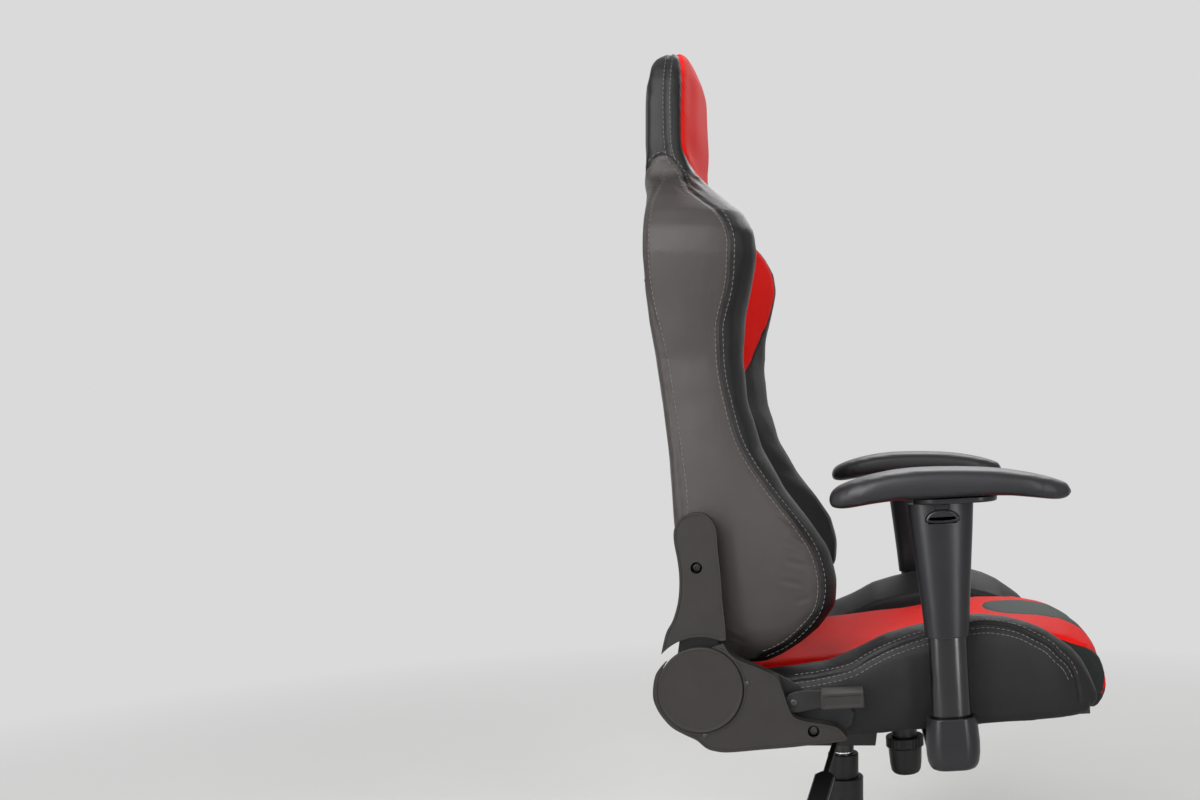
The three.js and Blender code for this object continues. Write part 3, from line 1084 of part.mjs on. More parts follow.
function armPad(side) {
  const shares = [0, 0.015, 0.045, 0.1, 0.18, 0.27, 0.36, 0.46, 0.56, 0.66, 0.75, 0.84, 0.91, 0.96,
    0.985, 1];
  const sectionShares = [[-1, 0.35], [-0.9, 0.08], [-0.6, 0], [0, 0], [0.6, 0], [0.9, 0.08], [1, 0.35],
    [0.97, 0.7], [0.8, 0.92], [0.45, 0.99],
    [0, 1], [-0.45, 0.99], [-0.8, 0.92], [-0.97, 0.7]];
  const rings = shares.map((share) => {
    const x = PAD_REAR + share * PAD_LENGTH;
    const end = Math.min(share, 1 - share) * 2;
    const half = (PAD_WIDTH / 2) * Math.min(1, 0.5 + 0.5 * Math.sqrt(Math.min(1, end * 3.4)));
    const bottom = PAD_BASE + between(padBottomShares, share) * PAD_HEIGHT;
    const top = PAD_BASE + between(padTopShares, share) * PAD_HEIGHT;
    return sectionShares.map(([acrossShare, up]) =>
      new THREE.Vector3(x, POST_Y + acrossShare * half, bottom + up * (top - bottom)));
  });
  return onSide(loft(rings), side);
}

// Assembly

function addLift(parent) {
  place(parent, 'lift_column', liftColumn(), blackSteel);
  place(parent, 'lift_piston_rod', pistonRod(), zincSteel);
  place(parent, 'lift_chrome_tube', chromeTube(), chrome);
  place(parent, 'lift_valve_button', valveButton(), zincSteel);
  place(parent, 'lift_cover_narrow', narrowCover(), blackNylon);
  place(parent, 'lift_cover_middle', middleCover(), blackNylon);
  place(parent, 'lift_cover_wide', wideCover(), blackNylon);
}

function addMechanism(parent, seat) {
  place(parent, 'mechanism_housing', mechanismHousing(), blackSteel);
  place(parent, 'rock_pin', rockPin(), zincSteel);
  place(parent, 'height_lever', heightLever(), blackSteel);
  place(seat, 'seat_plate', seatPlate(), blackSteel);
  place(seat, 'tension_knob', tensionKnob(), blackNylon);
  place(seat, 'rock_spring', rockSpring(), zincSteel);
}

function addSeat(seat) {
  place(seat, 'seat_frame', seatFrame(), blackSteel);
  place(seat, 'seat_cushion', seatCushion(), redLeather);
  for (const [side, word] of [[-1, 'right'], [1, 'left']]) {
    place(seat, `seat_bolster_${word}`, seatBolster(side), blackLeather);
    place(seat, `seat_bracket_${word}`, seatBracket(side), blackSteel);
    place(seat, `lower_cover_${word}`, lowerCover(side), coverPlastic);
    place(seat, `hinge_cap_${word}`, hingeCap(side), coverPlastic);
    place(seat, `armrest_bracket_${word}`, armBracket(side), blackSteel);
    place(seat, `armrest_boot_${word}`, armBoot(side), armPlastic);
    place(seat, `armrest_sleeve_${word}`, armSleeve(side), armPlastic);
    place(seat, `armrest_button_${word}`, armButton(side), armPlastic);
    place(seat, `armrest_pad_${word}`, armPad(side), padFoam);
  }
  place(seat, 'recline_lever', reclineLever(), coverPlastic);
}

function addBack(back) {
  place(back, 'back_frame', backFrame(), blackSteel);
  place(back, 'back_cushion', backCushion(), blackLeather);
  place(back, 'back_cover', backCover(), blackLeather);
  place(back, 'head_cushion', headCushion(), redLeather);
  for (const [side, word] of [[-1, 'right'], [1, 'left']]) {
    place(back, `back_wing_${word}`, backWing(side), sideLeather);
    place(back, `back_bracket_${word}`, backBracket(side), blackSteel);
    place(back, `upper_cover_${word}`, upperCover(side), coverPlastic);
  }
}

const group = new THREE.Group();
place(group, 'base_star', baseStar(), blackNylon);
addCasters(group);
addLift(group);
const seat = new THREE.Group();
seat.position.z = SEAT_DATUM;
seat.rotation.y = -SEAT_LEAN;
addMechanism(group, seat);
addSeat(seat);
const back = new THREE.Group();
const hinge = new THREE.Vector3(HINGE_X, 0, HINGE_Z).applyAxisAngle(new THREE.Vector3(0, 1, 0), -SEAT_LEAN);
back.position.set(hinge.x, 0, SEAT_DATUM + hinge.z);
addBack(back);
group.add(seat, back);

// The origin lies on the floor under the middle of the whole chair
group.updateMatrixWorld(true);
const extent = new THREE.Box3().setFromObject(group, true);
group.position.set(-(extent.min.x + extent.max.x) / 2, -(extent.min.y + extent.max.y) / 2, -extent.min.z);

export default group;
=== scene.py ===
"""Looks of the gaming chair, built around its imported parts. Metres, +X forward, +Y to the sitter's left."""
import json
import math

import bpy
import numpy as np
from mathutils import Matrix, Vector
from mathutils.bvhtree import BVHTree

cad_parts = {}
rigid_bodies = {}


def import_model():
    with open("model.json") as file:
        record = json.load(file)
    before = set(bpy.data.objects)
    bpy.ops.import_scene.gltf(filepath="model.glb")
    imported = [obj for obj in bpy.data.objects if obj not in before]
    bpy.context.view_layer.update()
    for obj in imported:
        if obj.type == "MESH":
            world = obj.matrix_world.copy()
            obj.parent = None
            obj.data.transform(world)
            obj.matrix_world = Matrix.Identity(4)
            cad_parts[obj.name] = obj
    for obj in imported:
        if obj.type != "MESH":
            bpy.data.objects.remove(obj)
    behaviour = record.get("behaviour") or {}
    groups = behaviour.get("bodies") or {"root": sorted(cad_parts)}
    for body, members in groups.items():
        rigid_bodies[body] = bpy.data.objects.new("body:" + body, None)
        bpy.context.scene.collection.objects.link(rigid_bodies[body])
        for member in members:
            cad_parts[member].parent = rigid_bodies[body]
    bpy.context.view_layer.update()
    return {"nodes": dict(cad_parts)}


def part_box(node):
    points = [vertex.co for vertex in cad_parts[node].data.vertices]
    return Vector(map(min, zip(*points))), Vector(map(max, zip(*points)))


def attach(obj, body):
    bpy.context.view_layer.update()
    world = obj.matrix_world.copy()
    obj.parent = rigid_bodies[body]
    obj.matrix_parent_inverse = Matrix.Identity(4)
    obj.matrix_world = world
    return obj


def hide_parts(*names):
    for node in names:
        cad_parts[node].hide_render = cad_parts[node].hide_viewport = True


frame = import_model()
nodes = frame["nodes"]

# Places read from the frame: the recline axis, the gas lift's axis and the seat's own frame
cap_low, cap_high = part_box("hinge_cap_right")
HINGE = (cap_low + cap_high) / 2
tube_low, tube_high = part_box("lift_chrome_tube")
LIFT_X = (tube_low.x + tube_high.x) / 2
SEAT_DATUM = 0.405
SEAT_LEAN = math.radians(3)
SEAT_TURN = Matrix.Rotation(-SEAT_LEAN, 4, "Y")
SEAT_FRAME = Matrix.Translation((LIFT_X, 0, SEAT_DATUM)) @ SEAT_TURN
SIDES = {"right": -1, "left": 1}

# Soft pieces: the cloth
BIG_VOXEL = 0.0055
SMALL_VOXEL = 0.0045
SHRINK = 0.001
JOIN_GROWTH = 0.0006
SMOOTH_SHARE = 0.5
SMOOTH_ROUNDS = 3
SIMULATION_FRAMES = 20
TAUT_ROUNDS = 30
CLOTH = {"quality": 5, "mass": 0.3, "tension_stiffness": 12, "compression_stiffness": 12,
         "shear_stiffness": 6, "bending_stiffness": 2.5, "use_pressure": True, "uniform_pressure_force": 4.0,
         "shrink_min": -0.02}
HELD_WIDTH = 0.0045
BACK_CAP = 0.001
BACK_SWELL = 0.006
SIDE_TAUT = 0.004
HINGE_CALM = 0.1
SEAT_CAP = 0.004
BOLSTER_CAP = 0.0018

# Soft pieces: seams, folds and stitches
SEAM_REACH = 0.0016
SEAM_DEPTH = 0.0016
PUCKER = 0.011
PUCKER_RATIO = 1.7
PUCKER_SHARE = 0.1
CREASE_REACH = 0.0028
CREASE_DEPTH = 0.0009
CREASE_BULGE = 0.6
CREASE_FADE = 1.6
STITCH_LENGTH = 0.0042
STITCH_GAP = 0.0018
STITCH_RADIUS = 0.00045
STITCH_SIDES = 6
STITCH_SECTIONS = [(-0.5, 0.35), (-0.36, 1), (0.36, 1), (0.5, 0.35)]
STITCH_LIFT = 0.3
ROW_OFFSET = 0.0042
CREST_ROW_OFFSETS = [-0.00378, 0.00378, -0.00924]
STITCH_INSIDE = 0.1
BOLSTER_INSIDE = 0.15
CAST_FROM = 0.5

# Soft pieces: where the colours of the back and the seat change
HEAD_JOIN = 0.606
PANEL_TOP = 0.63
FILL_HEIGHT = 0.6
FILL_REACH = 0.025
FILL_DEPTH = 0.008
FILL_INSIDE = 0.09
FILL_RAMP = 0.04
CHEEK_LOW = 0.37
CHEEK_INSET = ((0.37, 0.388, 0.41, 0.44, 0.48, 0.61), (0.06, 0.044, 0.03, 0.014, 0.006, 0.004))
CREST_STEP = 0.006
CREST_BAND = 0.0012
CREST_WINDOW = 9
WING_INSIDE = 0.11
CORNER_START = 0.235
CORNER_SIDE = 0.1
UNDERSIDE = 0.01
FAR = 1.0

# Soft pieces: how far a normal has to lean for its face to count as one of these
LEAN_DOWN = -0.3
LEAN_ASIDE = 0.8
LEAN_INWARD = 0.9
LEAN_BACK = -0.6
LEAN_UNDER = -0.6
LEAN_FORWARD = 0.2
LEAN_OUTWARD = 0.05
LEAN_REAR = -0.94
LEAN_HEAD_REAR = -0.2
CHEEK_LEAN = 0.6
FACE_LEAN = 0.85

# Lines seen in the photograph, in millimetres: x and z from the recline axis, or along and up in the seat
LINE_UNIT = 0.001
WING_SEAM = [(-110, 604), (-88, 605), (-79, 614), (-68, 623), (-55, 622), (-41, 605), (-27, 577),
             (-4, 555), (13, 541), (24, 526), (30, 509), (31, 492), (28, 453), (18, 413), (17, 390),
             (19, 356), (26, 322), (41, 272), (68, 228), (109, 175), (126, 147), (134, 113), (129, 82),
             (109, 57), (87, 39), (61, 27)]
WING_REAR_SEAM = [(-56, 620), (-63, 597), (-66, 492), (-61, 436), (-50, 390), (-39, 328), (-28, 255),
                  (-22, 198), (-24, 110), (-34, 60), (-40, 20)]
HEAD_BORDER = [(-76, 794), (-62, 774), (-51, 763), (-45, 750), (-42, 738), (-40, 715), (-40, 690),
               (-40, 656), (-39, 638), (-35, 626), (-29, 616), (-22, 607), (-15, 601), (4, 590)]
HEAD_SIDE_SEAM = [(-60, 765), (-58, 745), (-58, 700), (-57, 650), (-54, 625), (-48, 612)]
CREASES = [[(-46, 604), (-26, 584), (-4, 566)], [(-40, 612), (-14, 586), (6, 566)],
           [(-50, 590), (-30, 570)], [(84, 192), (104, 178)], [(90, 164), (116, 152)],
           [(94, 140), (122, 132)], [(88, 118), (112, 112)], [(104, 92), (120, 98)],
           [(20, 60), (46, 44)]]
CENTRE_EDGE = [(149, 0), (149, 131), (140, 259), (128, 371), (130, 469), (124, 544), (112, 604)]
BOLSTER_SEAM = [(-120, 68), (-80, 70), (-54, 73), (-24, 76), (11, 83), (34, 94), (58, 104), (98, 115),
                (156, 124), (184, 122), (206, 116), (223, 107), (239, 97), (250, 85), (261, 73),
                (269, 55), (272, 30)]
INSERT_EDGE = [(360, 62), (262, 62), (236, 60), (212, 50), (199, 34), (194, 17), (192, 0)]
CORNER_EDGE = [(238, 96), (260, 88), (281, 79), (303, 71), (316, 62), (323, 50), (323, 32), (314, 12),
               (300, -8)]
UPPER_COVER = [(-44, 38), (-42, 49), (-38, 64), (-31, 77), (-26, 94), (-24, 110), (-24, 127), (-26, 144),
               (-30, 166), (-29, 180), (-22, 191), (-10, 196), (4, 195), (12, 188), (17, 177), (19, 155),
               (22, 127), (24, 99), (27, 72), (28, 55)]
LOWER_COVER = [(-196, 104), (-204, 95), (-208, 82), (-209, 68), (-206, 57), (-200, 46), (-190, 34),
               (-176, 25), (-163, 18), (-153, 9), (-143, 5), (-128, 3), (-94, 4), (-60, 5), (-27, 7),
               (0, 9), (3, 13), (-5, 23), (-15, 27), (-42, 33), (-52, 37), (-57, 43), (-61, 54),
               (-65, 68), (-71, 83), (-89, 94), (-111, 104), (-122, 113), (-128, 124)]
TONGUE = [(-64, 48), (-60, 42), (-50, 41), (-30, 44), (0, 47), (22, 50), (24, 56), (22, 62), (-20, 64),
          (-44, 65), (-58, 62), (-64, 55)]

# The recline hinge, with distances from the middle of the chair
CAP_FACE = -cap_low.y
CAP_BOSS = -cap_high.y
CAP_RADIUS = (cap_high.x - cap_low.x) / 2
CAP_DEPTH = 0.005
CAP_RIM = 0.003
CAP_DISH = 0.0007
CAP_CHAMFER = 0.0012
HINGE_PIN = 0.008
LOWER_FACE = CAP_FACE - 0.003
UPPER_FACE = LOWER_FACE - 0.002
COVER_ROUND = 0.0007
COVER_SHELL = 0.0025
LOWER_DEPTH = 0.0185
UPPER_DEPTH = 0.0115
RING_RADIUS = 0.0585
SEAT_HINGE = (-0.156, 0.074)
GAP = 0.0007
BOLT_HOLE = 0.0065
CLEAR_SHARE = 0.95
RIM_WIDTH = 0.0024
RIM_DEPTH = 0.0009
BOLT_HEAD = 0.0054
BOLT_SEAT = 0.0085
BOLT_HEIGHT = 0.0035
UPPER_BOLT = (-0.005, 0.135)
LOWER_BOLT = (-0.033, 0.021)
RIM_SCREWS = {"upper": (-0.1035, 0.0785), "lower": (-0.1535, 0.0228)}
SMALL_SCREW = 0.0026
SMALL_SCREW_HEIGHT = 0.0014
SCREW_SIDES = 24
SCREW_SHARES = [(0, 0), (1, 0), (1, 0.35), (0.88, 0.72), (0.6, 0.95), (0, 1)]
SOCKET_SHARE = 0.48
LEVER_PIVOT = (-0.054, 0.052)
LEVER_INNER = 0.2692
LEVER_THICKNESS = 0.005
HANDLE_BOX = ((-0.0225, 0.0495), (0.0245, 0.0665))
HANDLE_OUTER = 0.303
HANDLE_INSET = 0.0025
HANDLE_ROUND = 0.0014
PIVOT_SCREW = 0.0042
PIVOT_SCREW_SEAT = 0.2743

# The armrests, in the seat's own frame
POST_X = 0.1205
POST_Y = 0.288
POST_HALF = (0.0215, 0.0115)
POST_TOP = 0.178
FOOT_WALL = 0.006
FOOT_HALF = 0.029
FOOT_INNER = 0.108
BOOT_FLAT = 0.2578
BOOT_ROUND = 0.0012
BOOT_LEVELS = [(-0.025, 0.0225, 0.0148), (-0.024, 0.0246, 0.0168), (-0.0215, 0.0266, 0.0186),
               (-0.017, 0.0284, 0.0199), (-0.008, 0.0297, 0.0208), (0.004, 0.03, 0.021),
               (0.02, 0.0288, 0.0201), (0.032, 0.0272, 0.0189), (0.032, 0.0246, 0.0146),
               (0.0295, 0.0226, 0.0126), (0.012, 0.0224, 0.0124)]
SLEEVE_OUTER = 0.019
SLEEVE_LEVELS = [(0.256, 0.0219, 0.0119), (0.1205, 0.0219, 0.0119), (0.12, 0.0224, 0.0124),
                 (0.12, 0.024, 0.0143), (0.1215, 0.0246, 0.0147), (0.15, 0.0266, 0.0154),
                 (0.18, 0.029, 0.0162), (0.21, 0.0316, 0.0171), (0.24, 0.0343, 0.0181),
                 (0.2684, 0.0365, 0.019)]
FLANGE_SHIFT = 0.016
FLANGE_LEVELS = [(0.268, 0.0455, 0.0265), (0.2695, 0.0466, 0.0276), (0.274, 0.047, 0.028)]
FLANGE_ROUND = 0.0008
BUTTON_HALF = 0.0178
BUTTON_HEIGHT = 0.011
BUTTON_SAG = 0.0028
BUTTON_Z = 0.25
BUTTON_STEPS = 40
BUTTON_EDGE = 0.0007
BUTTON_GROW = 1.07
BUTTON_WELL = 0.0117
BUTTON_BACK = 0.015
BUTTON_FACE = 0.0175
TAB_HALF = 0.0072
TAB_GAP = 0.0009
TAB_TOP = 0.2679
TAB_OPEN = 0.275
TAB_SEAT = -0.0172
TAB_FACE = -0.0188

# Under the seat
TENSION_X = 0.079
KNOB_RIBS = 30
KNOB_RIB_INSIDE = 0.0235
KNOB_RIB_DEPTH = 0.0009
KNOB_FACETS = 14
KNOB_ROUND = 0.0022
KNOB_COLLAR = [(0.0175, -0.0625), (0.0245, -0.0625), (0.0252, -0.0635), (0.0252, -0.0755), (0.024, -0.0765),
               (0.0175, -0.0765)]
KNOB_GRIP = [(0.0175, -0.0765), (0.0222, -0.0765), (0.0222, -0.081), (0.0212, -0.098), (0.0196, -0.108),
             (0.0165, -0.112), (0, -0.112)]
KNOB_TEETH = KNOB_RIBS * 4
CHROME_RADIUS = 0.014
CHROME_BORE = 0.011
BAND_LOW = 0.3265
BAND_HIGH = 0.3449
BAND_RADIUS = 0.01422
LIP = 0.003
LIFT_COVERS = [("narrow", 0.0145, 0.0205, 0.0249, "cover_narrow"),
               ("middle", 0.021, 0.027, 0.0289, "cover_middle"), ("wide", 0.0275, 0.031, 0.0325, "base")]
CASTERS = 5
WHEEL_RADIUS = 0.0299
WHEEL_HALF = 0.0095
WHEEL_BORE = 0.0044
WHEEL_SHARES = [(0.93, -1), (1, -0.66), (1, 0.66), (0.93, 1), (0.8, 1), (0.76, 0.55), (0.3, 0.55),
                (0.26, 0.9)]
SPOKE_RING = (WHEEL_RADIUS * 0.3, WHEEL_RADIUS * 0.76)
SPOKE_PITCH = 8
SPOKE_WIDTH = 2
SPOKE_RISE = WHEEL_HALF * 0.25

# Tools
ROUND_SIDES = 64
BIG_ROUND_SIDES = 96
SLIVER = 0.00001
EDGE_ROUND = 0.0008
SOLID_ROUND = 0.0009
EDGE_ANGLE = math.radians(32)
SMOOTH_ANGLE = math.radians(38)
FACING = 0.9
ROUND_STEPS = 3
SHADE_WEIGHT = 100

# Camera, floor and light
CAMERA_PLACE = (-0.04303, -1.643, 0.776)
CAMERA_LENS = 36.75
CAMERA_SHIFT = (-0.1983, 0.0125)
LAMP_TARGET = Vector((0, 0, 0.6))
LAMPS = [("key", (-0.9, -1.8, 3.0), 1.6, 1.6, 54), ("left strip", (-1.25, -1.75, 1.1), 0.4, 2.1, 28),
         ("panel", (-0.8, -1.85, 1.45), 0.8, 0.8, 20), ("right strip", (1.15, -1.9, 1.1), 0.3, 2.1, 24),
         ("rear", (0.4, 1.9, 2.4), 1.6, 1.6, 30)]
FLOOR_SIZE = 24
FLOOR_NEAR = 0.9
FLOOR_FAR = 2.6
ROOM_LIGHT = 0.2
ROOM_SEEN = 0.7
WHITE = (1, 1, 1, 1)

# The solids that a piece of the scene stands for, filled in as the pieces are made
stood_for = []


def on_seat(along, y, up):
    """A point given in the seat's own frame, which leans back"""
    return Vector((LIFT_X, 0, SEAT_DATUM)) + SEAT_TURN @ Vector((along, y, up))


def seat_coordinates(points):
    """Points of the room as the seat's own frame has them"""
    turn = np.array(SEAT_TURN.to_3x3())
    return (points - np.array((LIFT_X, 0, SEAT_DATUM))) @ turn


def smooth_line(points, steps=6):
    """A smooth line through the given points"""
    spots = np.array(points, float)
    ends = np.vstack([spots[:1], spots, spots[-1:]])
    line = []
    for before, start, end, after in zip(ends, ends[1:], ends[2:], ends[3:]):
        for t in np.arange(steps) / steps:
            slope = 0.5 * t * (end - before)
            bend = t * t * (before - 2.5 * start + 2 * end - 0.5 * after)
            twist = 0.5 * t ** 3 * (3 * start - before - 3 * end + after)
            line.append(start + slope + bend + twist)
    return np.vstack([line, spots[-1:]])


def side_of(line, points):
    """Signed distance of flat points from a flat line, positive on its left hand"""
    best = np.full(len(points), np.inf)
    sign = np.ones(len(points))
    for start, end in zip(line, line[1:]):
        run = end - start
        away = points - start
        share = np.clip(away @ run / (run @ run), 0, 1)
        gap = np.hypot(*(away - share[:, None] * run).T)
        nearer = gap < best - 1e-9
        best[nearer] = gap[nearer]
        sign[nearer] = np.sign(run[0] * away[nearer, 1] - run[1] * away[nearer, 0])
    return best * sign


def corners(piece):
    """The piece's points as an array"""
    flat = np.zeros(len(piece.data.vertices) * 3)
    piece.data.vertices.foreach_get("co", flat)
    return flat.reshape(-1, 3)


def normals(piece):
    """The piece's point normals as an array"""
    flat = np.zeros(len(piece.data.vertices) * 3, np.float32)
    piece.data.vertex_normals.foreach_get("vector", flat)
    return flat.reshape(-1, 3).astype(float)


def move_corners(piece, points):
    """Puts the piece's points where the array says"""
    piece.data.vertices.foreach_set("co", points.ravel())
    piece.data.update()


def pick(piece):
    """Selects one piece and nothing else"""
    bpy.ops.object.select_all(action="DESELECT")
    piece.select_set(True)
    bpy.context.view_layer.objects.active = piece


def finish_with(piece, kind, **settings):
    """Adds a modifier with these settings and applies it"""
    pick(piece)
    modifier = piece.modifiers.new(kind.lower(), kind)
    for name, value in settings.items():
        setattr(modifier, name, value)
    bpy.ops.object.modifier_apply(modifier=modifier.name)


def store(piece, name, values):
    """Keeps a number for each point of the piece, for its material"""
    layer = piece.data.attributes.new(name, "FLOAT", "POINT")
    layer.data.foreach_set("value", np.asarray(values, np.float32))


# Materials


class Amount:
    """A number in a material. Arithmetic on it adds the nodes that work it out."""

    def __init__(self, paint, socket):
        self.paint = paint
        self.socket = socket

    def work(self, operation, first, second=0.0, clamp=False):
        """One sum as a node"""
        settings = {"operation": operation, "use_clamp": clamp}
        node = self.paint.node("ShaderNodeMath", settings, {0: first, 1: second})
        return Amount(self.paint, node.outputs[0])

    def __add__(self, other):
        return self.work("ADD", self, other)

    __radd__ = __add__

    def __sub__(self, other):
        return self.work("SUBTRACT", self, other)

    def __rsub__(self, other):
        return self.work("SUBTRACT", other, self)

    def __mul__(self, other):
        return self.work("MULTIPLY", self, other)

    __rmul__ = __mul__

    def __truediv__(self, other):
        return self.work("DIVIDE", self, other)

    def __pow__(self, other):
        return self.work("POWER", self, other)

    def held(self):
        """The number kept between 0 and 1"""
        return self.work("ADD", self, 0.0, clamp=True)

    def over(self, width):
        """0 below minus half the width, 1 above plus half of it"""
        return (self / width + 0.5).held()


class Paint:
    """One finish, built from nodes around a single surface shader"""

    def __init__(self, name, **uniform):
        self.material = bpy.data.materials.new(name)
        self.material.use_nodes = True
        self.tree = self.material.node_tree
        self.tree.nodes.clear()
        values = {name.replace("_", " "): value for name, value in uniform.items()}
        self.surface = self.node("ShaderNodeBsdfPrincipled", values=values)
        self.node("ShaderNodeOutputMaterial", values={"Surface": self.surface.outputs[0]})
        self.place = self.node("ShaderNodeTexCoord").outputs["Object"]

    def node(self, kind, settings=None, values=None):
        """A node with its settings, and its inputs set or linked"""
        node = self.tree.nodes.new(kind)
        for name, setting in (settings or {}).items():
            setattr(node, name, setting)
        for socket, value in (values or {}).items():
            self.put(node.inputs[socket], value)
        return node

    def put(self, socket, value):
        """Links an amount or an output to an input, or sets the input to a plain value"""
        if isinstance(value, Amount):
            value = value.socket
        if isinstance(value, bpy.types.NodeSocket):
            self.tree.links.new(value, socket)
        else:
            socket.default_value = value

    def set(self, **varying):
        """Sets inputs of the surface, named with underscores"""
        for name, value in varying.items():
            self.put(self.surface.inputs[name.replace("_", " ")], value)

    def noise(self, scale, detail=2.0, roughness=0.5, where=None):
        """Soft random spots"""
        values = {"Vector": where or self.place, "Scale": scale, "Detail": detail, "Roughness": roughness}
        return Amount(self, self.node("ShaderNodeTexNoise", values=values).outputs[0])

    def cells(self, scale, feature="F1"):
        """A pattern of small cells"""
        values = {"Vector": self.place, "Scale": scale}
        node = self.node("ShaderNodeTexVoronoi", {"feature": feature}, values)
        return Amount(self, node.outputs["Distance"])

    def kept(self, name):
        """A number that the piece keeps for each of its points"""
        return Amount(self, self.node("ShaderNodeAttribute", {"attribute_name": name}).outputs["Fac"])

    def mix(self, amount, low, high):
        """A colour between two others"""
        values = {"Factor": amount, 6: low, 7: high}
        return self.node("ShaderNodeMix", {"data_type": "RGBA"}, values).outputs[2]

    def stretched(self, x, y, z):
        """The place on the piece, scaled by an amount for each direction"""
        return self.node("ShaderNodeMapping", values={"Vector": self.place, "Scale": (x, y, z)}).outputs[0]

    def relief(self, height, distance, strength, under=None):
        """Fine relief on the surface"""
        values = {"Height": height, "Distance": distance, "Strength": strength}
        if under:
            values["Normal"] = under
        return self.node("ShaderNodeBump", values=values).outputs[0]


def tone(red, green, blue):
    """A colour given as 0 to 255 on screen"""
    def linear(level):
        share = level / 255
        return share / 12.92 if share <= 0.04045 else ((share + 0.055) / 1.055) ** 2.4
    return (linear(red), linear(green), linear(blue), 1.0)


BLACK_SKIN = tone(8, 8, 9)
BLACK_SKIN_WORN = tone(14, 14, 15)
# Painted sheen: the side panels are black leather, and this grey stands for the sheen of light on them
SHEEN_GREY_SKIN = tone(47, 43, 42)
SHEEN_GREY_SKIN_WORN = tone(58, 54, 52)
# Painted sheen: the seat's corners are dark leather, and their grey-green stands for the sheen of light on
# them
CORNER_SHEEN_SKIN = tone(28, 32, 31)
CORNER_SHEEN_SKIN_WORN = tone(36, 41, 39)
RED_SKIN = tone(212, 10, 2)
RED_SKIN_WORN = tone(226, 24, 8)
RED_MATT = 0.3
# Painted sheen: the seat's insert is dark leather, and its grey-green stands for the sheen of light on it
INSERT_SHEEN_SKIN = tone(50, 60, 57)
INSERT_SHEEN_SKIN_WORN = tone(60, 70, 66)


def leather(name, *zones, rough=0.42, gloss=0.24):
    """Synthetic leather: a fine pebbled grain, soft creases and a colour for each zone that the piece keeps.
    A zone is (kept distance, dark tone, light tone); the first pair has no distance."""
    paint = Paint(name, Specular_IOR_Level=gloss)
    cloudy = paint.noise(22, 3, 0.6)
    fine = paint.noise(420, 2, 0.5)
    shade = (cloudy * 0.7 + fine * 0.3 - 0.35).held()
    (_, dark, light), *others = zones
    colour = paint.mix(shade, dark, light)
    matt = 0.0
    for kept, zone_dark, zone_light in others:
        inside = paint.kept(kept).over(0.0008)
        colour = paint.mix(inside, colour, paint.mix(shade, zone_dark, zone_light))
        matt = inside * (RED_MATT if zone_dark == RED_SKIN else 0) + matt
    pebbles = paint.cells(950, "DISTANCE_TO_EDGE")
    grain = (pebbles * 6).held() * 0.6 + paint.noise(1400, 2, 0.6) * 0.4
    creases = paint.noise(60, 4, 0.65, paint.stretched(1, 1, 0.45))
    soft = paint.relief(creases, 0.0012, 0.35)
    paint.set(Base_Color=colour, Roughness=cloudy * 0.1 + (1 - grain) * 0.08 + matt + rough,
              Normal=paint.relief(grain, 0.00012, 0.8, soft))
    return paint.material


def moulded(name, dark, light, grain_scale=900, grain_depth=0.00006, rough=0.5, gloss=0.4):
    """Moulded plastic with a spark-eroded grain"""
    paint = Paint(name, Specular_IOR_Level=gloss)
    cloudy = paint.noise(35, 3, 0.6)
    pits = paint.cells(grain_scale)
    speckle = paint.noise(grain_scale * 1.4, 2, 0.6)
    paint.set(Base_Color=paint.mix((cloudy * 0.6 + speckle * 0.4).held(), dark, light),
              Roughness=rough + cloudy * 0.08 + speckle * 0.06 - 0.07,
              Normal=paint.relief(pits * 0.7 + speckle * 0.3, grain_depth, 0.6))
    return paint.material


def metal(name, dark, light, rough, metallic=1.0, brushed=0.0):
    """Steel: a worn colour, fine scratches along the work and a soft unevenness"""
    paint = Paint(name, Metallic=metallic)
    cloudy = paint.noise(18, 4, 0.6)
    scratches = paint.noise(300, 3, 0.6, paint.stretched(1, 1, 0.06))
    paint.set(Base_Color=paint.mix((cloudy * 0.6 + scratches * 0.4).held(), dark, light),
              Roughness=rough + cloudy * 0.06 + scratches * brushed,
              Normal=paint.relief(scratches, 0.00003, 0.3))
    return paint.material


def powder_coat(name, dark, light):
    """Powder-coated steel with its orange-peel surface"""
    paint = Paint(name, Specular_IOR_Level=0.3)
    peel = paint.noise(650, 2, 0.5)
    cloudy = paint.noise(25, 3, 0.5)
    paint.set(Base_Color=paint.mix(cloudy, dark, light), Roughness=0.36 + peel * 0.14,
              Normal=paint.relief(peel, 0.00012, 0.5))
    return paint.material


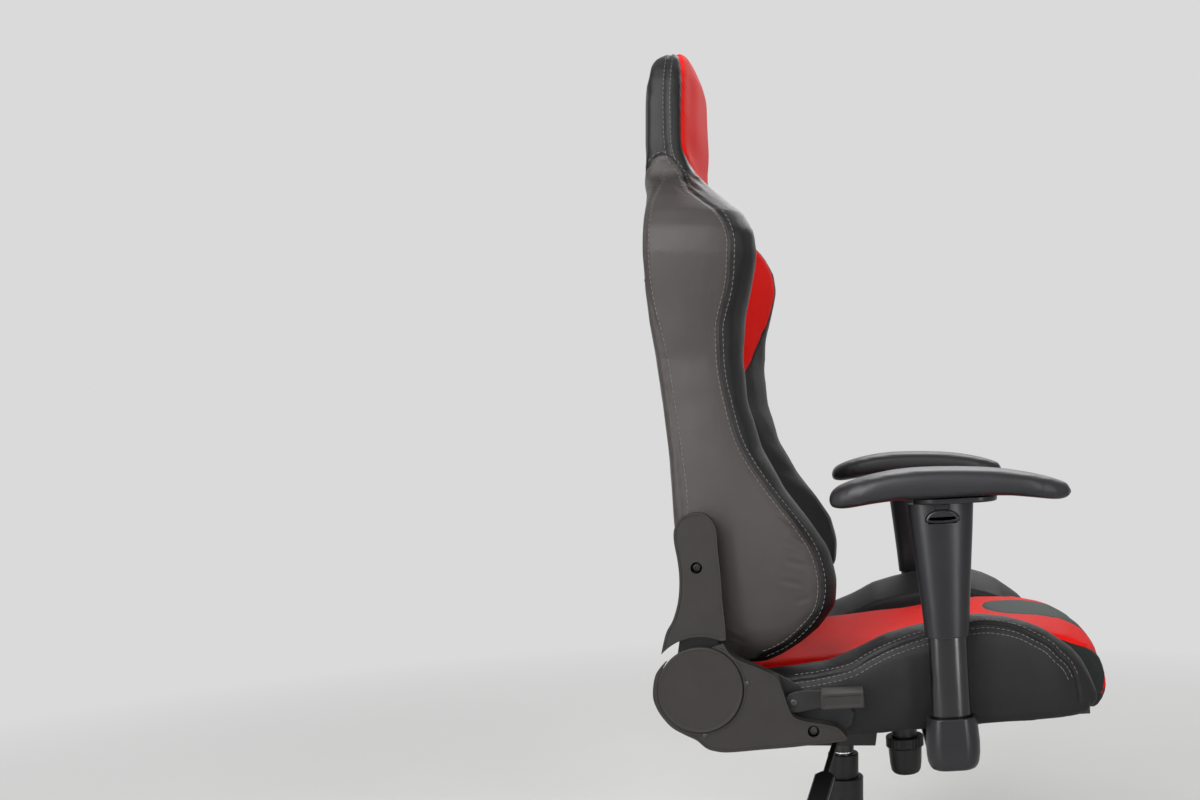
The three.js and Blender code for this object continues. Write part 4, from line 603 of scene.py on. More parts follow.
MATERIALS = {
    "black_nylon": moulded("black_nylon", tone(22, 22, 22), tone(32, 32, 32), 700, 0.00008, 0.45, 0.2),
    "wheel_nylon": moulded("wheel_nylon", tone(16, 16, 16), tone(26, 26, 26), 600, 0.00008, 0.45, 0.2),
    "cover_plastic": moulded("cover_plastic", tone(34, 32, 31), tone(44, 42, 41), 800, 0.0001, 0.5, 0.16),
    "arm_plastic": moulded("arm_plastic", tone(18, 18, 20), tone(26, 26, 29), 1000, 0.00005, 0.32, 0.3),
    "armrest_skin": moulded("armrest_skin", tone(20, 20, 22), tone(30, 30, 33), 750, 0.00012, 0.42, 0.3),
    "black_steel": powder_coat("black_steel", tone(16, 16, 17), tone(26, 26, 27)),
    "plated_steel": metal("plated_steel", tone(150, 150, 148), tone(190, 190, 188), 0.28, 1.0, 0.1),
    "chrome": metal("chrome", tone(205, 206, 210), tone(222, 223, 226), 0.08, 1.0, 0.03),
    "black_leather": leather("black_leather", (None, BLACK_SKIN, BLACK_SKIN_WORN)),
    # The panel zone's grey is a painted sheen on black leather
    "side_leather": leather("wing_leather", (None, BLACK_SKIN, BLACK_SKIN_WORN),
                            ("panel", SHEEN_GREY_SKIN, SHEEN_GREY_SKIN_WORN), ("cheek", RED_SKIN, RED_SKIN_WORN),
                            ("face", RED_SKIN, RED_SKIN_WORN), rough=0.34),
    "red_leather": leather("red_leather", (None, RED_SKIN, RED_SKIN_WORN), gloss=0.15),
}
# The insert and corner zones are painted grey-green as a sheen on dark leather
SEAT_LEATHER = leather("seat_leather", (None, RED_SKIN, RED_SKIN_WORN),
                       ("insert", INSERT_SHEEN_SKIN, INSERT_SHEEN_SKIN_WORN), ("corner", CORNER_SHEEN_SKIN, CORNER_SHEEN_SKIN_WORN),
                       rough=0.5, gloss=0.12)
GLOSS_STEEL = moulded("gloss_steel", tone(10, 10, 11), tone(16, 16, 18), 500, 0.00002, 0.2, 0.5)
SCREW_STEEL = metal("screw_steel", tone(40, 40, 42), tone(70, 70, 72), 0.4, 0.7, 0.08)
KNURLED = moulded("knurled_band", tone(18, 18, 18), tone(30, 30, 30), 420, 0.0004, 0.45)
SPRING_STEEL = metal("spring_steel", tone(24, 24, 25), tone(40, 40, 41), 0.4, 0.6, 0.08)
CARRIED_FINISH = {"rock_spring": SPRING_STEEL}
THREAD = moulded("thread", tone(76, 73, 71), tone(100, 96, 94), 2500, 0.00004, 0.7)


def dress(piece, material):
    """Gives a piece its finish"""
    piece.data.materials.clear()
    piece.data.materials.append(material)


def carried_solids(replaced):
    """The solids that stay get their finish, and edges rounded as tooling leaves them"""
    for name, solid in nodes.items():
        if name in replaced:
            continue
        slot = solid.data.materials[0].name
        dress(solid, CARRIED_FINISH.get(name, MATERIALS[slot]))
        solid.data.shade_smooth()
        weld = solid.modifiers.new("merged", "WELD")
        weld.merge_threshold = SLIVER
        bevel = solid.modifiers.new("rounded", "BEVEL")
        bevel.width = SOLID_ROUND
        bevel.segments = 2
        bevel.limit_method = "ANGLE"
        bevel.angle_limit = EDGE_ANGLE
        solid.modifiers.new("shaded", "WEIGHTED_NORMAL")


# Soft pieces


def loose_copy(node, name):
    """A merged copy of a solid's mesh, as a piece of its own"""
    piece = bpy.data.objects.new(name, nodes[node].data.copy())
    bpy.context.scene.collection.objects.link(piece)
    pick(piece)
    bpy.ops.object.mode_set(mode="EDIT")
    bpy.ops.mesh.select_all(action="SELECT")
    bpy.ops.mesh.remove_doubles(threshold=SLIVER)
    bpy.ops.object.mode_set(mode="OBJECT")
    piece.data.materials.clear()
    return piece


def soft_copy(node, name, voxel, shrink=SHRINK):
    """A copy of a soft solid in even faces, a little smaller, so that it can swell"""
    piece = loose_copy(node, name)
    evened(piece, voxel)
    move_corners(piece, corners(piece) - normals(piece) * shrink)
    return piece


def evened(piece, voxel):
    """Even faces all over, and nothing of what a hollow inside would leave"""
    finish_with(piece, "REMESH", mode="VOXEL", voxel_size=voxel)
    foremost = int(corners(piece)[:, 0].argmax())
    bpy.ops.object.mode_set(mode="EDIT")
    bpy.ops.mesh.select_all(action="DESELECT")
    bpy.ops.object.mode_set(mode="OBJECT")
    piece.data.vertices[foremost].select = True
    bpy.ops.object.mode_set(mode="EDIT")
    bpy.ops.mesh.select_linked(delimit=set())
    bpy.ops.mesh.select_all(action="INVERT")
    bpy.ops.mesh.delete(type="VERT")
    bpy.ops.object.mode_set(mode="OBJECT")
    finish_with(piece, "SMOOTH", factor=SMOOTH_SHARE, iterations=SMOOTH_ROUNDS)


def joined_copy(name, parts, voxel):
    """Solids that touch, joined into one body in even faces, as one sewn cover holds them"""
    pieces = [loose_copy(node, name) for node in parts]
    for piece in pieces:
        move_corners(piece, corners(piece) + normals(piece) * JOIN_GROWTH)
    whole = joined(name, *pieces)
    evened(whole, voxel)
    return whole


def swell(piece, held, cap):
    """The foam presses the cover out between the places where it is held, no further than the cap"""
    start = corners(piece)
    group = piece.vertex_groups.new(name="held")
    group.add([int(i) for i in np.flatnonzero(held)], 1.0, "REPLACE")
    cloth = piece.modifiers.new("cover", "CLOTH")
    for name, value in CLOTH.items():
        setattr(cloth.settings, name, value)
    cloth.settings.effector_weights.gravity = 0
    cloth.settings.vertex_group_mass = group.name
    for step in range(1, SIMULATION_FRAMES + 1):
        bpy.context.scene.frame_set(step)
    pick(piece)
    bpy.ops.object.modifier_apply(modifier=cloth.name)
    bpy.context.scene.frame_set(1)
    move = corners(piece) - start
    reach = np.linalg.norm(move, axis=1)
    move *= np.minimum(1, cap / np.maximum(reach, SLIVER))[:, None]
    move = evenly(piece, move)
    move_corners(piece, start + move)
    piece.vertex_groups.clear()


def evenly(piece, move):
    """The movement spread over neighbours, so that the cover stays taut instead of crumpling"""
    flat = np.zeros(len(piece.data.edges) * 2, int)
    piece.data.edges.foreach_get("vertices", flat)
    first, second = flat.reshape(-1, 2).T
    count = np.bincount(flat, minlength=len(move))[:, None]
    for _ in range(TAUT_ROUNDS):
        total = np.zeros_like(move)
        np.add.at(total, first, move[second])
        np.add.at(total, second, move[first])
        move = (move + total / count) / 2
    return move


def refine(piece):
    """One subdivision, smooth shading"""
    finish_with(piece, "SUBSURF", levels=1, render_levels=1)
    bpy.ops.object.shade_smooth()


def sew(piece, distance, facing):
    """Draws the cover in along a seam, with small puckers beside it"""
    points = corners(piece)
    depth = SEAM_DEPTH * np.exp(-(distance / SEAM_REACH) ** 2) * facing
    wave = np.cos(points @ np.array((1, 0.7, 1)) * math.tau / PUCKER)
    wave += np.cos(points[:, 2] * math.tau / (PUCKER * PUCKER_RATIO))
    depth += PUCKER_SHARE * SEAM_DEPTH * wave * np.exp(-(distance / (4 * SEAM_REACH)) ** 2) * facing
    move_corners(piece, points - normals(piece) * depth[:, None])


def mirrored(piece, name):
    """The same piece for the sitter's other side"""
    twin = bpy.data.objects.new(name, piece.data.copy())
    bpy.context.scene.collection.objects.link(twin)
    twin.data.transform(Matrix.Scale(-1, 4, (0, 1, 0)))
    twin.data.flip_normals()
    return twin


def back_flat(points):
    """Side view of points of the back, from the recline axis"""
    return points[:, [0, 2]] - np.array((HINGE.x, HINGE.z))


def lined(points):
    """A smooth line in metres through points given in millimetres"""
    return smooth_line(np.array(points) * LINE_UNIT)


def near_seam(distance):
    """Which points a seam holds"""
    return np.abs(distance) < HELD_WIDTH


def back_upholstery():
    """The back: foam over the frame in one sewn cover. Side panels lie inside stitched seams, painted grey as
    a sheen on black leather; the noses of the wings are black, their inner faces and the front of the head
    are red."""
    parts = ["back_cushion", "back_wing_right", "back_wing_left", "head_cushion", "back_cover", "back_frame"]
    back = joined_copy("back_upholstery", parts, BIG_VOXEL)
    straighten_rear(back)
    zones = back_zones(back)
    facing = normals(back)
    held = near_seam(zones["front_seam"]) | near_seam(zones["rear_seam"]) | near_seam(zones["face_seam"])
    held |= near_seam(zones["centre_seam"]) | (facing[:, 0] < LEAN_BACK)
    held |= facing[:, 2] < LEAN_UNDER
    away = np.linalg.norm(back_flat(corners(back)), axis=1)
    outward = np.abs(facing[:, 1])
    free = np.clip((away - HINGE_CALM) / HINGE_CALM, 0, 1)
    swell(back, held, BACK_CAP + (BACK_SWELL - SIDE_TAUT * outward) * free)
    refine(back)
    zones = back_zones(back)
    for seam in ("front_seam", "rear_seam", "face_seam", "cheek_seam", "centre_seam", "head_seam"):
        sew(back, zones[seam], 1)
    crease(back)
    for zone in ("panel", "cheek", "face"):
        store(back, zone, zones[zone])
    dress(back, MATERIALS["side_leather"])
    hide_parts(*parts[:-1])
    stood_for.extend(parts[:-1])
    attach(back, "back")
    return back


def straighten_rear(back):
    """The cover runs straight over the step behind, from the wings to the head"""
    points = corners(back)
    height = back_flat(points)[:, 1]
    near = np.exp(-((height - FILL_HEIGHT) / FILL_REACH) ** 2)
    near *= np.clip((np.abs(points[:, 1]) - FILL_INSIDE) / FILL_RAMP, 0, 1)
    points[:, 0] -= FILL_DEPTH * near * np.clip(-normals(back)[:, 0] * 2 + 0.4, 0, 1)
    move_corners(back, points)


def crease(back):
    """Shallow folds that run off the shoulders and the lower front of the side panels"""
    points = corners(back)
    flat = back_flat(points)
    outward = np.clip(normals(back)[:, 1] * np.sign(points[:, 1]) * 2, 0, 1)
    depth = np.zeros(len(points))
    for line in CREASES:
        path = lined(line)
        middle = (path[0] + path[-1]) / 2
        share = np.linalg.norm(flat - middle, axis=1) / np.linalg.norm(path[-1] - path[0])
        fade = np.clip(1 - (share * CREASE_FADE) ** 2, 0, 1)
        distance = np.abs(side_of(path, flat)) / CREASE_REACH
        depth += fade * (np.exp(-distance ** 2) - CREASE_BULGE * np.exp(-(distance - 2) ** 2))
    move_corners(back, points - normals(back) * (depth * outward * CREASE_DEPTH)[:, None])


def back_zones(back):
    """Signed distances from the seams of the back's cover, and into its coloured panels"""
    points = corners(back)
    facing = normals(back)
    flat = back_flat(points)
    side = np.abs(points[:, 1])
    outward = facing[:, 1] * np.sign(points[:, 1])
    outer = (outward > LEAN_OUTWARD) & (facing[:, 0] > LEAN_REAR)
    front = side_of(lined(WING_SEAM), flat)
    rear = side_of(lined(WING_REAR_SEAM), flat)
    head = side_of(lined(HEAD_BORDER), flat)
    front_view = np.stack([side, flat[:, 1]], axis=1)
    centre = side_of(lined(CENTRE_EDGE), front_view)
    forward = facing[:, 0] > LEAN_FORWARD
    body = flat[:, 1] < HEAD_JOIN
    inset = crest_of(points) - side - np.interp(flat[:, 1], *CHEEK_INSET)
    cheek = np.minimum(np.minimum(inset, -centre), flat[:, 1] - CHEEK_LOW)
    cheek = np.where((outward < CHEEK_LEAN) & forward & body, cheek, -1)
    face = np.where(body, -1, np.where(outward < FACE_LEAN, head, -1))
    # The grey panel zone: the outer sides and the rear below the head, where the grey is a painted sheen
    panel = (outer | (facing[:, 0] < LEAN_FORWARD)) & (flat[:, 1] < PANEL_TOP)
    return {
        "front_seam": np.where(outer & (flat[:, 1] < PANEL_TOP), front, FAR),
        "rear_seam": np.where(outer & body, rear, FAR),
        "face_seam": np.where(~body & (outward > LEAN_HEAD_REAR), head, FAR),
        "cheek_seam": np.where(forward & body, cheek, FAR),
        "centre_seam": np.where(forward & body, centre, FAR),
        "head_seam": np.where(outer & ~body, side_of(lined(HEAD_SIDE_SEAM), flat), FAR),
        "panel": np.where(panel, -front, -1),
        "cheek": cheek,
        "face": face,
    }


def crest_of(points):
    """For every point, how far out the foremost point at its height lies"""
    level = np.round(points[:, 2] / CREST_STEP).astype(int)
    crest = np.zeros(level.max() + 1)
    for step in np.unique(level):
        here = points[level == step]
        wing = here[np.abs(here[:, 1]) > WING_INSIDE]
        if len(wing):
            foremost = wing[wing[:, 0] > wing[:, 0].max() - CREST_BAND]
            crest[step] = np.abs(foremost[:, 1]).mean()
    found = np.flatnonzero(crest)
    padded = np.pad(crest[found], CREST_WINDOW // 2, mode="edge")
    evened_out = np.convolve(padded, np.ones(CREST_WINDOW) / CREST_WINDOW, mode="valid")
    return np.interp(points[:, 2] / CREST_STEP, found, evened_out)


def cushion(piece, node, body, material):
    """Gives a soft piece its finish, its body and the solid that it stands for"""
    dress(piece, material)
    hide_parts(node)
    stood_for.append(node)
    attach(piece, body)


def seat_pad():
    """The seat's middle: red, with a dark insert to the front edge and dark corners; their grey-green is a
    painted sheen on dark leather
    """
    pad = soft_copy("seat_cushion", "seat_pad", BIG_VOXEL)
    facing = normals(pad)
    swell(pad, (facing[:, 2] < LEAN_DOWN) | (np.abs(facing[:, 1]) > LEAN_ASIDE), SEAT_CAP)
    refine(pad)
    local = seat_coordinates(corners(pad))
    flat = np.stack([local[:, 0], np.abs(local[:, 1])], axis=1)
    insert = side_of(lined(INSERT_EDGE), flat)
    corner = side_of(lined(CORNER_EDGE), local[:, [0, 2]])
    sew(pad, insert, 1)
    sew(pad, corner, 1)
    store(pad, "insert", insert)
    # The corner zone, with the pad's underside: dark leather painted grey-green as a sheen
    dark = np.minimum(-corner, np.minimum(local[:, 0] - CORNER_START, flat[:, 1] - CORNER_SIDE))
    store(pad, "corner", np.maximum(dark, -normals(pad)[:, 2] * UNDERSIDE))
    cushion(pad, "seat_cushion", "seat", SEAT_LEATHER)


def seat_bolsters():
    """The raised sides of the seat, black, with a stitched seam along the crest"""
    bolster = soft_copy("seat_bolster_right", "bolster_right", SMALL_VOXEL)
    facing = normals(bolster)
    swell(bolster, (facing[:, 2] < LEAN_DOWN) | (facing[:, 1] > LEAN_INWARD), BOLSTER_CAP)
    refine(bolster)
    local = seat_coordinates(corners(bolster))
    distance = side_of(lined(BOLSTER_SEAM), local[:, [0, 2]])
    sew(bolster, distance, np.clip(-normals(bolster)[:, 1] * 3, 0, 1))
    both = [bolster, mirrored(bolster, "bolster_left")]
    for piece, word in zip(both, SIDES):
        cushion(piece, f"seat_bolster_{word}", "seat", MATERIALS["black_leather"])
    return both


def arm_pads():
    """The arched pads of the armrests"""
    pad = soft_copy("armrest_pad_right", "pad_right", SMALL_VOXEL, 0)
    refine(pad)
    skin = MATERIALS["armrest_skin"]
    for piece, word in zip([pad, mirrored(pad, "pad_left")], SIDES):
        cushion(piece, f"armrest_pad_{word}", f"armrest_{word}", skin)


# Rigid pieces: tools


def made(name):
    """The primitive just added, named, with its place in its mesh"""
    piece = bpy.context.active_object
    piece.name = name
    pick(piece)
    bpy.ops.object.transform_apply(location=True, rotation=True, scale=True)
    return piece


def choose(piece, faces):
    """In edit mode, selects the faces that a test picks"""
    bpy.ops.mesh.select_mode(type="FACE")
    bpy.ops.mesh.select_all(action="DESELECT")
    bpy.ops.object.mode_set(mode="OBJECT")
    for face in piece.data.polygons:
        face.select = bool(faces(face))
    bpy.ops.object.mode_set(mode="EDIT")


def choose_points(piece, points):
    """In edit mode, selects the points that a test picks"""
    bpy.ops.mesh.select_mode(type="VERT")
    bpy.ops.mesh.select_all(action="DESELECT")
    bpy.ops.object.mode_set(mode="OBJECT")
    for point in piece.data.vertices:
        point.select = bool(points(point.co))
    bpy.ops.object.mode_set(mode="EDIT")


def closed(piece):
    """Leaves edit mode with doubles merged and faces pointing outwards"""
    bpy.ops.mesh.select_all(action="SELECT")
    bpy.ops.mesh.remove_doubles(threshold=SLIVER)
    bpy.ops.mesh.delete_loose()
    bpy.ops.mesh.select_all(action="SELECT")
    bpy.ops.mesh.normals_make_consistent(inside=False)
    bpy.ops.object.mode_set(mode="OBJECT")
    return piece


def spun(name, profile, sides=ROUND_SIDES):
    """A turned piece standing on Z: its outline, each point a radius and a height, is spun round"""
    bpy.ops.object.select_all(action="DESELECT")
    bpy.ops.mesh.primitive_circle_add(vertices=len(profile), radius=profile[1][0])
    piece = made(name)
    move_corners(piece, np.array([(radius, 0, height) for radius, height in profile]))
    bpy.ops.object.mode_set(mode="EDIT")
    bpy.ops.mesh.select_all(action="SELECT")
    bpy.ops.mesh.spin(steps=sides, angle=2 * math.pi, center=(0, 0, 0), axis=(0, 0, 1))
    return closed(piece)


def drawn_up(name, levels, sides=ROUND_SIDES, oval=False):
    """A body with rounded ends, drawn level by level from a disc: height, half length along X, half width.
    Its sides are flat, or bowed where it is oval."""
    height, length, width = levels[0]
    bpy.ops.object.select_all(action="DESELECT")
    foot = (0, 0, height)
    bpy.ops.mesh.primitive_circle_add(vertices=sides, radius=width, fill_type="NGON", location=foot)
    piece = made(name)
    bpy.ops.object.mode_set(mode="EDIT")
    if oval:
        bpy.ops.mesh.select_all(action="SELECT")
        bpy.ops.transform.resize(value=(length / width, 1, 1), center_override=foot)
    else:
        for end in (-1, 1):
            choose_points(piece, lambda place: place.x * end > SLIVER)
            bpy.ops.transform.translate(value=(end * (length - width), 0, 0))
    bpy.ops.mesh.select_mode(type="FACE")
    bpy.ops.mesh.select_all(action="SELECT")
    for next_height, next_length, next_width in levels[1:]:
        bpy.ops.mesh.extrude_region_move(TRANSFORM_OT_translate={"value": (0, 0, next_height - height)})
        growth = (next_length / length, next_width / width, 1)
        bpy.ops.transform.resize(value=growth, center_override=(0, 0, next_height))
        height, length, width = next_height, next_length, next_width
    return closed(piece)


def plate(name, outline, inner, outer):
    """A flat piece that faces the sitter's right, from an outline in X and Z, between two distances"""
    bpy.ops.object.select_all(action="DESELECT")
    bpy.ops.mesh.primitive_circle_add(vertices=len(outline), radius=outer, fill_type="NGON")
    piece = made(name)
    move_corners(piece, np.array([(x, -inner, z) for x, z in outline]))
    bpy.ops.object.mode_set(mode="EDIT")
    bpy.ops.mesh.select_all(action="SELECT")
    bpy.ops.mesh.extrude_region_move(TRANSFORM_OT_translate={"value": (0, inner - outer, 0)})
    return closed(piece)


def block(name, low, high):
    """A box between two corners"""
    size = [b - a for a, b in zip(low, high)]
    middle = [(a + b) / 2 for a, b in zip(low, high)]
    bpy.ops.object.select_all(action="DESELECT")
    bpy.ops.mesh.primitive_cube_add(size=1, location=middle, scale=size)
    return made(name)


def cut_by(piece, cutter):
    """Takes the cutter's shape out of the piece"""
    finish_with(piece, "BOOLEAN", object=cutter, operation="DIFFERENCE", solver="EXACT")
    bpy.data.objects.remove(cutter)


def put(piece, *moves):
    """Moves a piece's mesh to its place"""
    for move in moves:
        piece.data.transform(move)
    return piece


def to_right(x, z):
    """Turns a piece that stands on Z to look out to the sitter's right, with its axis at x and z"""
    return Matrix.Translation((x, 0, z)) @ Matrix.Rotation(math.pi / 2, 4, "X")


def joined(name, *pieces):
    """Several pieces as one object"""
    bpy.ops.object.select_all(action="DESELECT")
    for piece in pieces:
        piece.select_set(True)
    bpy.context.view_layer.objects.active = pieces[0]
    bpy.ops.object.join()
    pieces[0].name = name
    return pieces[0]


def smooth(piece):
    """Smooths the curved faces and keeps the edges sharp"""
    pick(piece)
    bpy.ops.object.shade_smooth_by_angle(angle=EDGE_ANGLE)
    return piece


def rounded(piece, width=EDGE_ROUND, steps=ROUND_STEPS):
    """Rounds the sharp edges and smooths the curved faces"""
    pick(piece)
    bpy.ops.object.shade_smooth_by_angle(angle=SMOOTH_ANGLE)
    finish_with(piece, "BEVEL", width=width, segments=steps, limit_method="ANGLE", angle_limit=EDGE_ANGLE)
    finish_with(piece, "WEIGHTED_NORMAL", keep_sharp=False, weight=SHADE_WEIGHT)
    return piece


def finished(piece, slot, body, node=None, material=None):
    """Gives a piece its finish, its body and the solid that it stands for"""
    dress(piece, material or MATERIALS[slot])
    if node:
        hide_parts(node)
        stood_for.append(node)
    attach(piece, body)
    return piece


def paired(piece, name, slot, body, node=None, material=None):
    """Finishes a right-hand piece and its mirror image; the names take the side"""
    piece.name = name.format("right")
    both = {"right": piece, "left": mirrored(piece, name.format("left"))}
    for side, half in both.items():
        finished(half, slot, body.format(side), node and node.format(side), material)


# Rigid pieces: the recline hinge


def screw(name, radius, seat, height):
    """A button-head screw with a six-sided socket, from its seat to its top"""
    profile = [(radius * width, seat + height * up) for width, up in SCREW_SHARES]
    head = spun(name, profile, SCREW_SIDES)
    bpy.ops.object.select_all(action="DESELECT")
    top = (0, 0, seat + height)
    bpy.ops.mesh.primitive_cylinder_add(vertices=6, radius=radius * SOCKET_SHARE, depth=height, location=top)
    cut_by(head, made("socket"))
    return smooth(head)


def hinge_cap():
    """The flat round cap with a raised rim and a faintly dished face"""
    face = CAP_FACE
    rim = CAP_FACE - CAP_DEPTH
    dish = CAP_FACE - CAP_DISH
    profile = [(0, CAP_BOSS), (HINGE_PIN, CAP_BOSS), (HINGE_PIN, rim), (CAP_RADIUS, rim),
               (CAP_RADIUS, face - CAP_CHAMFER), (CAP_RADIUS - CAP_CHAMFER, face),
               (CAP_RADIUS - CAP_RIM, face), (CAP_RADIUS - CAP_RIM * 1.5, dish), (0, dish)]
    cap = spun("cap", profile, BIG_ROUND_SIDES)
    put(rounded(cap, CAP_CHAMFER / 3), to_right(HINGE.x, HINGE.z))
    paired(cap, "hinge_disc_{}", "cover_plastic", "seat", "hinge_cap_{}")


def inward(line, distance):
    """A closed flat line moved inwards, without the points that would cross over"""
    after = np.roll(line, -1, axis=0)
    ahead = after - np.roll(line, 1, axis=0)
    across = np.stack([-ahead[:, 1], ahead[:, 0]], axis=1) / np.linalg.norm(ahead, axis=1)[:, None]
    turned = np.sign(np.sum(line[:, 0] * after[:, 1] - after[:, 0] * line[:, 1]))
    moved = line + across * turned * distance
    ring = np.vstack([line, line[:1]])
    return moved[np.abs(side_of(ring, moved)) > distance * CLEAR_SHARE]


def moulded_cover(name, line, depth, face, hinge, opening, bolt):
    """A cover, sunk a little inside its edge, hollow behind, open round the hinge, with a bolt hole"""
    floor = face - RIM_DEPTH
    cover = plate(name, line, face - depth, face)
    sunk = plate("sunk", inward(line, RIM_WIDTH), floor, face + RIM_DEPTH)
    hollow = plate("hollow", inward(line, COVER_SHELL), face - depth * 2, floor - COVER_SHELL)
    for part, wall in ((cover, 0), (sunk, RIM_WIDTH), (hollow, COVER_SHELL)):
        cut_by(part, drilled(hinge, opening + wall))
    cut_by(cover, sunk)
    cut_by(cover, hollow)
    cut_by(cover, drilled(bolt, BOLT_HOLE))
    return rounded(cover, COVER_ROUND, 2)


def drilled(place, radius):
    """A long round cutter that faces the sitter's right"""
    drill = spun("drill", [(0, 0), (radius, 0), (radius, 1), (0, 1)], BIG_ROUND_SIDES)
    return put(drill, to_right(*place))


def hinge_covers():
    """The upper cover turns with the back, the lower one stays with the seat, and bolts sit deep in both"""
    hinge = np.array((HINGE.x, HINGE.z))
    upper_bolt = hinge + UPPER_BOLT
    upper_line = lined(UPPER_COVER) + hinge
    upper = moulded_cover("upper", upper_line, UPPER_DEPTH, UPPER_FACE, hinge, RING_RADIUS, upper_bolt)
    paired(upper, "upper_shell_{}", "cover_plastic", "back", "upper_cover_{}")
    lower_line = lined(LOWER_COVER)
    opening = CAP_RADIUS + GAP
    lower = moulded_cover("lower", lower_line, LOWER_DEPTH, LOWER_FACE, SEAT_HINGE, opening, LOWER_BOLT)
    paired(put(lower, SEAT_FRAME), "lower_shell_{}", "cover_plastic", "seat", "lower_cover_{}")

    bolt = put(screw("bolt", BOLT_HEAD, UPPER_FACE - BOLT_SEAT, BOLT_HEIGHT), to_right(*upper_bolt))
    paired(bolt, "upper_bolt_{}", "black_steel", "back")
    bolt = screw("bolt", BOLT_HEAD, LOWER_FACE - BOLT_SEAT, BOLT_HEIGHT)
    put(bolt, to_right(*LOWER_BOLT), SEAT_FRAME)
    paired(bolt, "front_bolt_{}", "black_steel", "seat", material=SCREW_STEEL)
    for name, place in RIM_SCREWS.items():
        head = screw("head", SMALL_SCREW, LOWER_FACE - RIM_DEPTH, SMALL_SCREW_HEIGHT)
        put(head, to_right(*place), SEAT_FRAME)
        paired(head, name + "_rim_screw_{}", "black_steel", "seat", material=SCREW_STEEL)


def recline_lever():
    """A flat tongue on its pivot and a box handle with a finger hollow, with the pivot screw before it"""
    tongue = plate("tongue", lined(TONGUE), LEVER_INNER, LEVER_INNER + LEVER_THICKNESS)
    (left, low), (right, high) = HANDLE_BOX
    handle = block("handle", (left, -HANDLE_OUTER, low), (right, -LEVER_INNER, high))
    bpy.ops.object.mode_set(mode="EDIT")
    choose(handle, lambda part: part.normal.y < -FACING)
    bpy.ops.mesh.inset(thickness=HANDLE_INSET, depth=0)
    bpy.ops.mesh.inset(thickness=HANDLE_INSET / 2, depth=-HANDLE_INSET / 3)
    choose(handle, lambda part: part.normal.z < -FACING)
    bpy.ops.mesh.inset(thickness=HANDLE_INSET * 1.5, depth=0)
    bpy.ops.mesh.inset(thickness=HANDLE_INSET, depth=-HANDLE_INSET)
    closed(handle)
    put(rounded(tongue, COVER_ROUND), SEAT_FRAME)
    finished(tongue, "black_steel", "recline_lever").name = "recline_tongue"
    put(rounded(handle, HANDLE_ROUND), SEAT_FRAME)
    finished(handle, "cover_plastic", "recline_lever", "recline_lever").name = "recline_grip"
    head = screw("lever_pivot_screw", PIVOT_SCREW, PIVOT_SCREW_SEAT, SMALL_SCREW_HEIGHT)
    put(head, to_right(*LEVER_PIVOT), SEAT_FRAME)
    finished(head, "black_steel", "seat", material=SCREW_STEEL)


# Rigid pieces: the armrests


def armrests():
    """Each armrest: a steel post on a foot, a moulded boot, a flared sleeve and its finger button"""
    at_post = Matrix.Translation((POST_X, -POST_Y, 0))
    post_and_foot(at_post)
    boots(at_post)
    sleeves(at_post)
    finger_buttons(at_post)


def post_and_foot(at_post):
    """The oval post and the flat bar that holds it under the seat"""
    post = put(drawn_up("post", [(-FOOT_WALL, *POST_HALF), (POST_TOP, *POST_HALF)], oval=True), at_post)
    inner = (POST_X + FOOT_HALF, -FOOT_INNER, -SLIVER)
    foot = block("foot", (POST_X - FOOT_HALF, -POST_Y, -FOOT_WALL), inner)
    bracket = put(joined("bracket", rounded(post), rounded(foot)), SEAT_FRAME)
    paired(bracket, "armrest_post_{}", "black_steel", "seat", "armrest_bracket_{}", GLOSS_STEEL)


def boots(at_post):
    """The moulded boot round the foot of the post, cut flat against the seat's bracket"""
    boot = put(drawn_up("boot", BOOT_LEVELS), at_post)
    bpy.ops.object.mode_set(mode="EDIT")
    bpy.ops.mesh.select_all(action="SELECT")
    bpy.ops.mesh.bisect(plane_co=(0, -BOOT_FLAT, 0), plane_no=(0, 1, 0), use_fill=True, clear_outer=True)
    closed(boot)
    paired(put(rounded(boot, BOOT_ROUND), SEAT_FRAME), "boot_{}", "arm_plastic", "seat", "armrest_boot_{}")


def button_outline(grown=1.0, gap=0.0):
    """A high arch above and a shallow one below, grown from its middle where a recess has to clear it"""
    outline = []
    for turn in np.arange(BUTTON_STEPS) * math.tau / BUTTON_STEPS:
        rise = BUTTON_HEIGHT * math.sin(turn)
        if turn >= math.pi:
            rise *= BUTTON_SAG / BUTTON_HEIGHT
        along = BUTTON_HALF * math.cos(turn)
        outline.append((along * grown, BUTTON_Z + rise * grown + math.copysign(gap, rise)))
    return outline


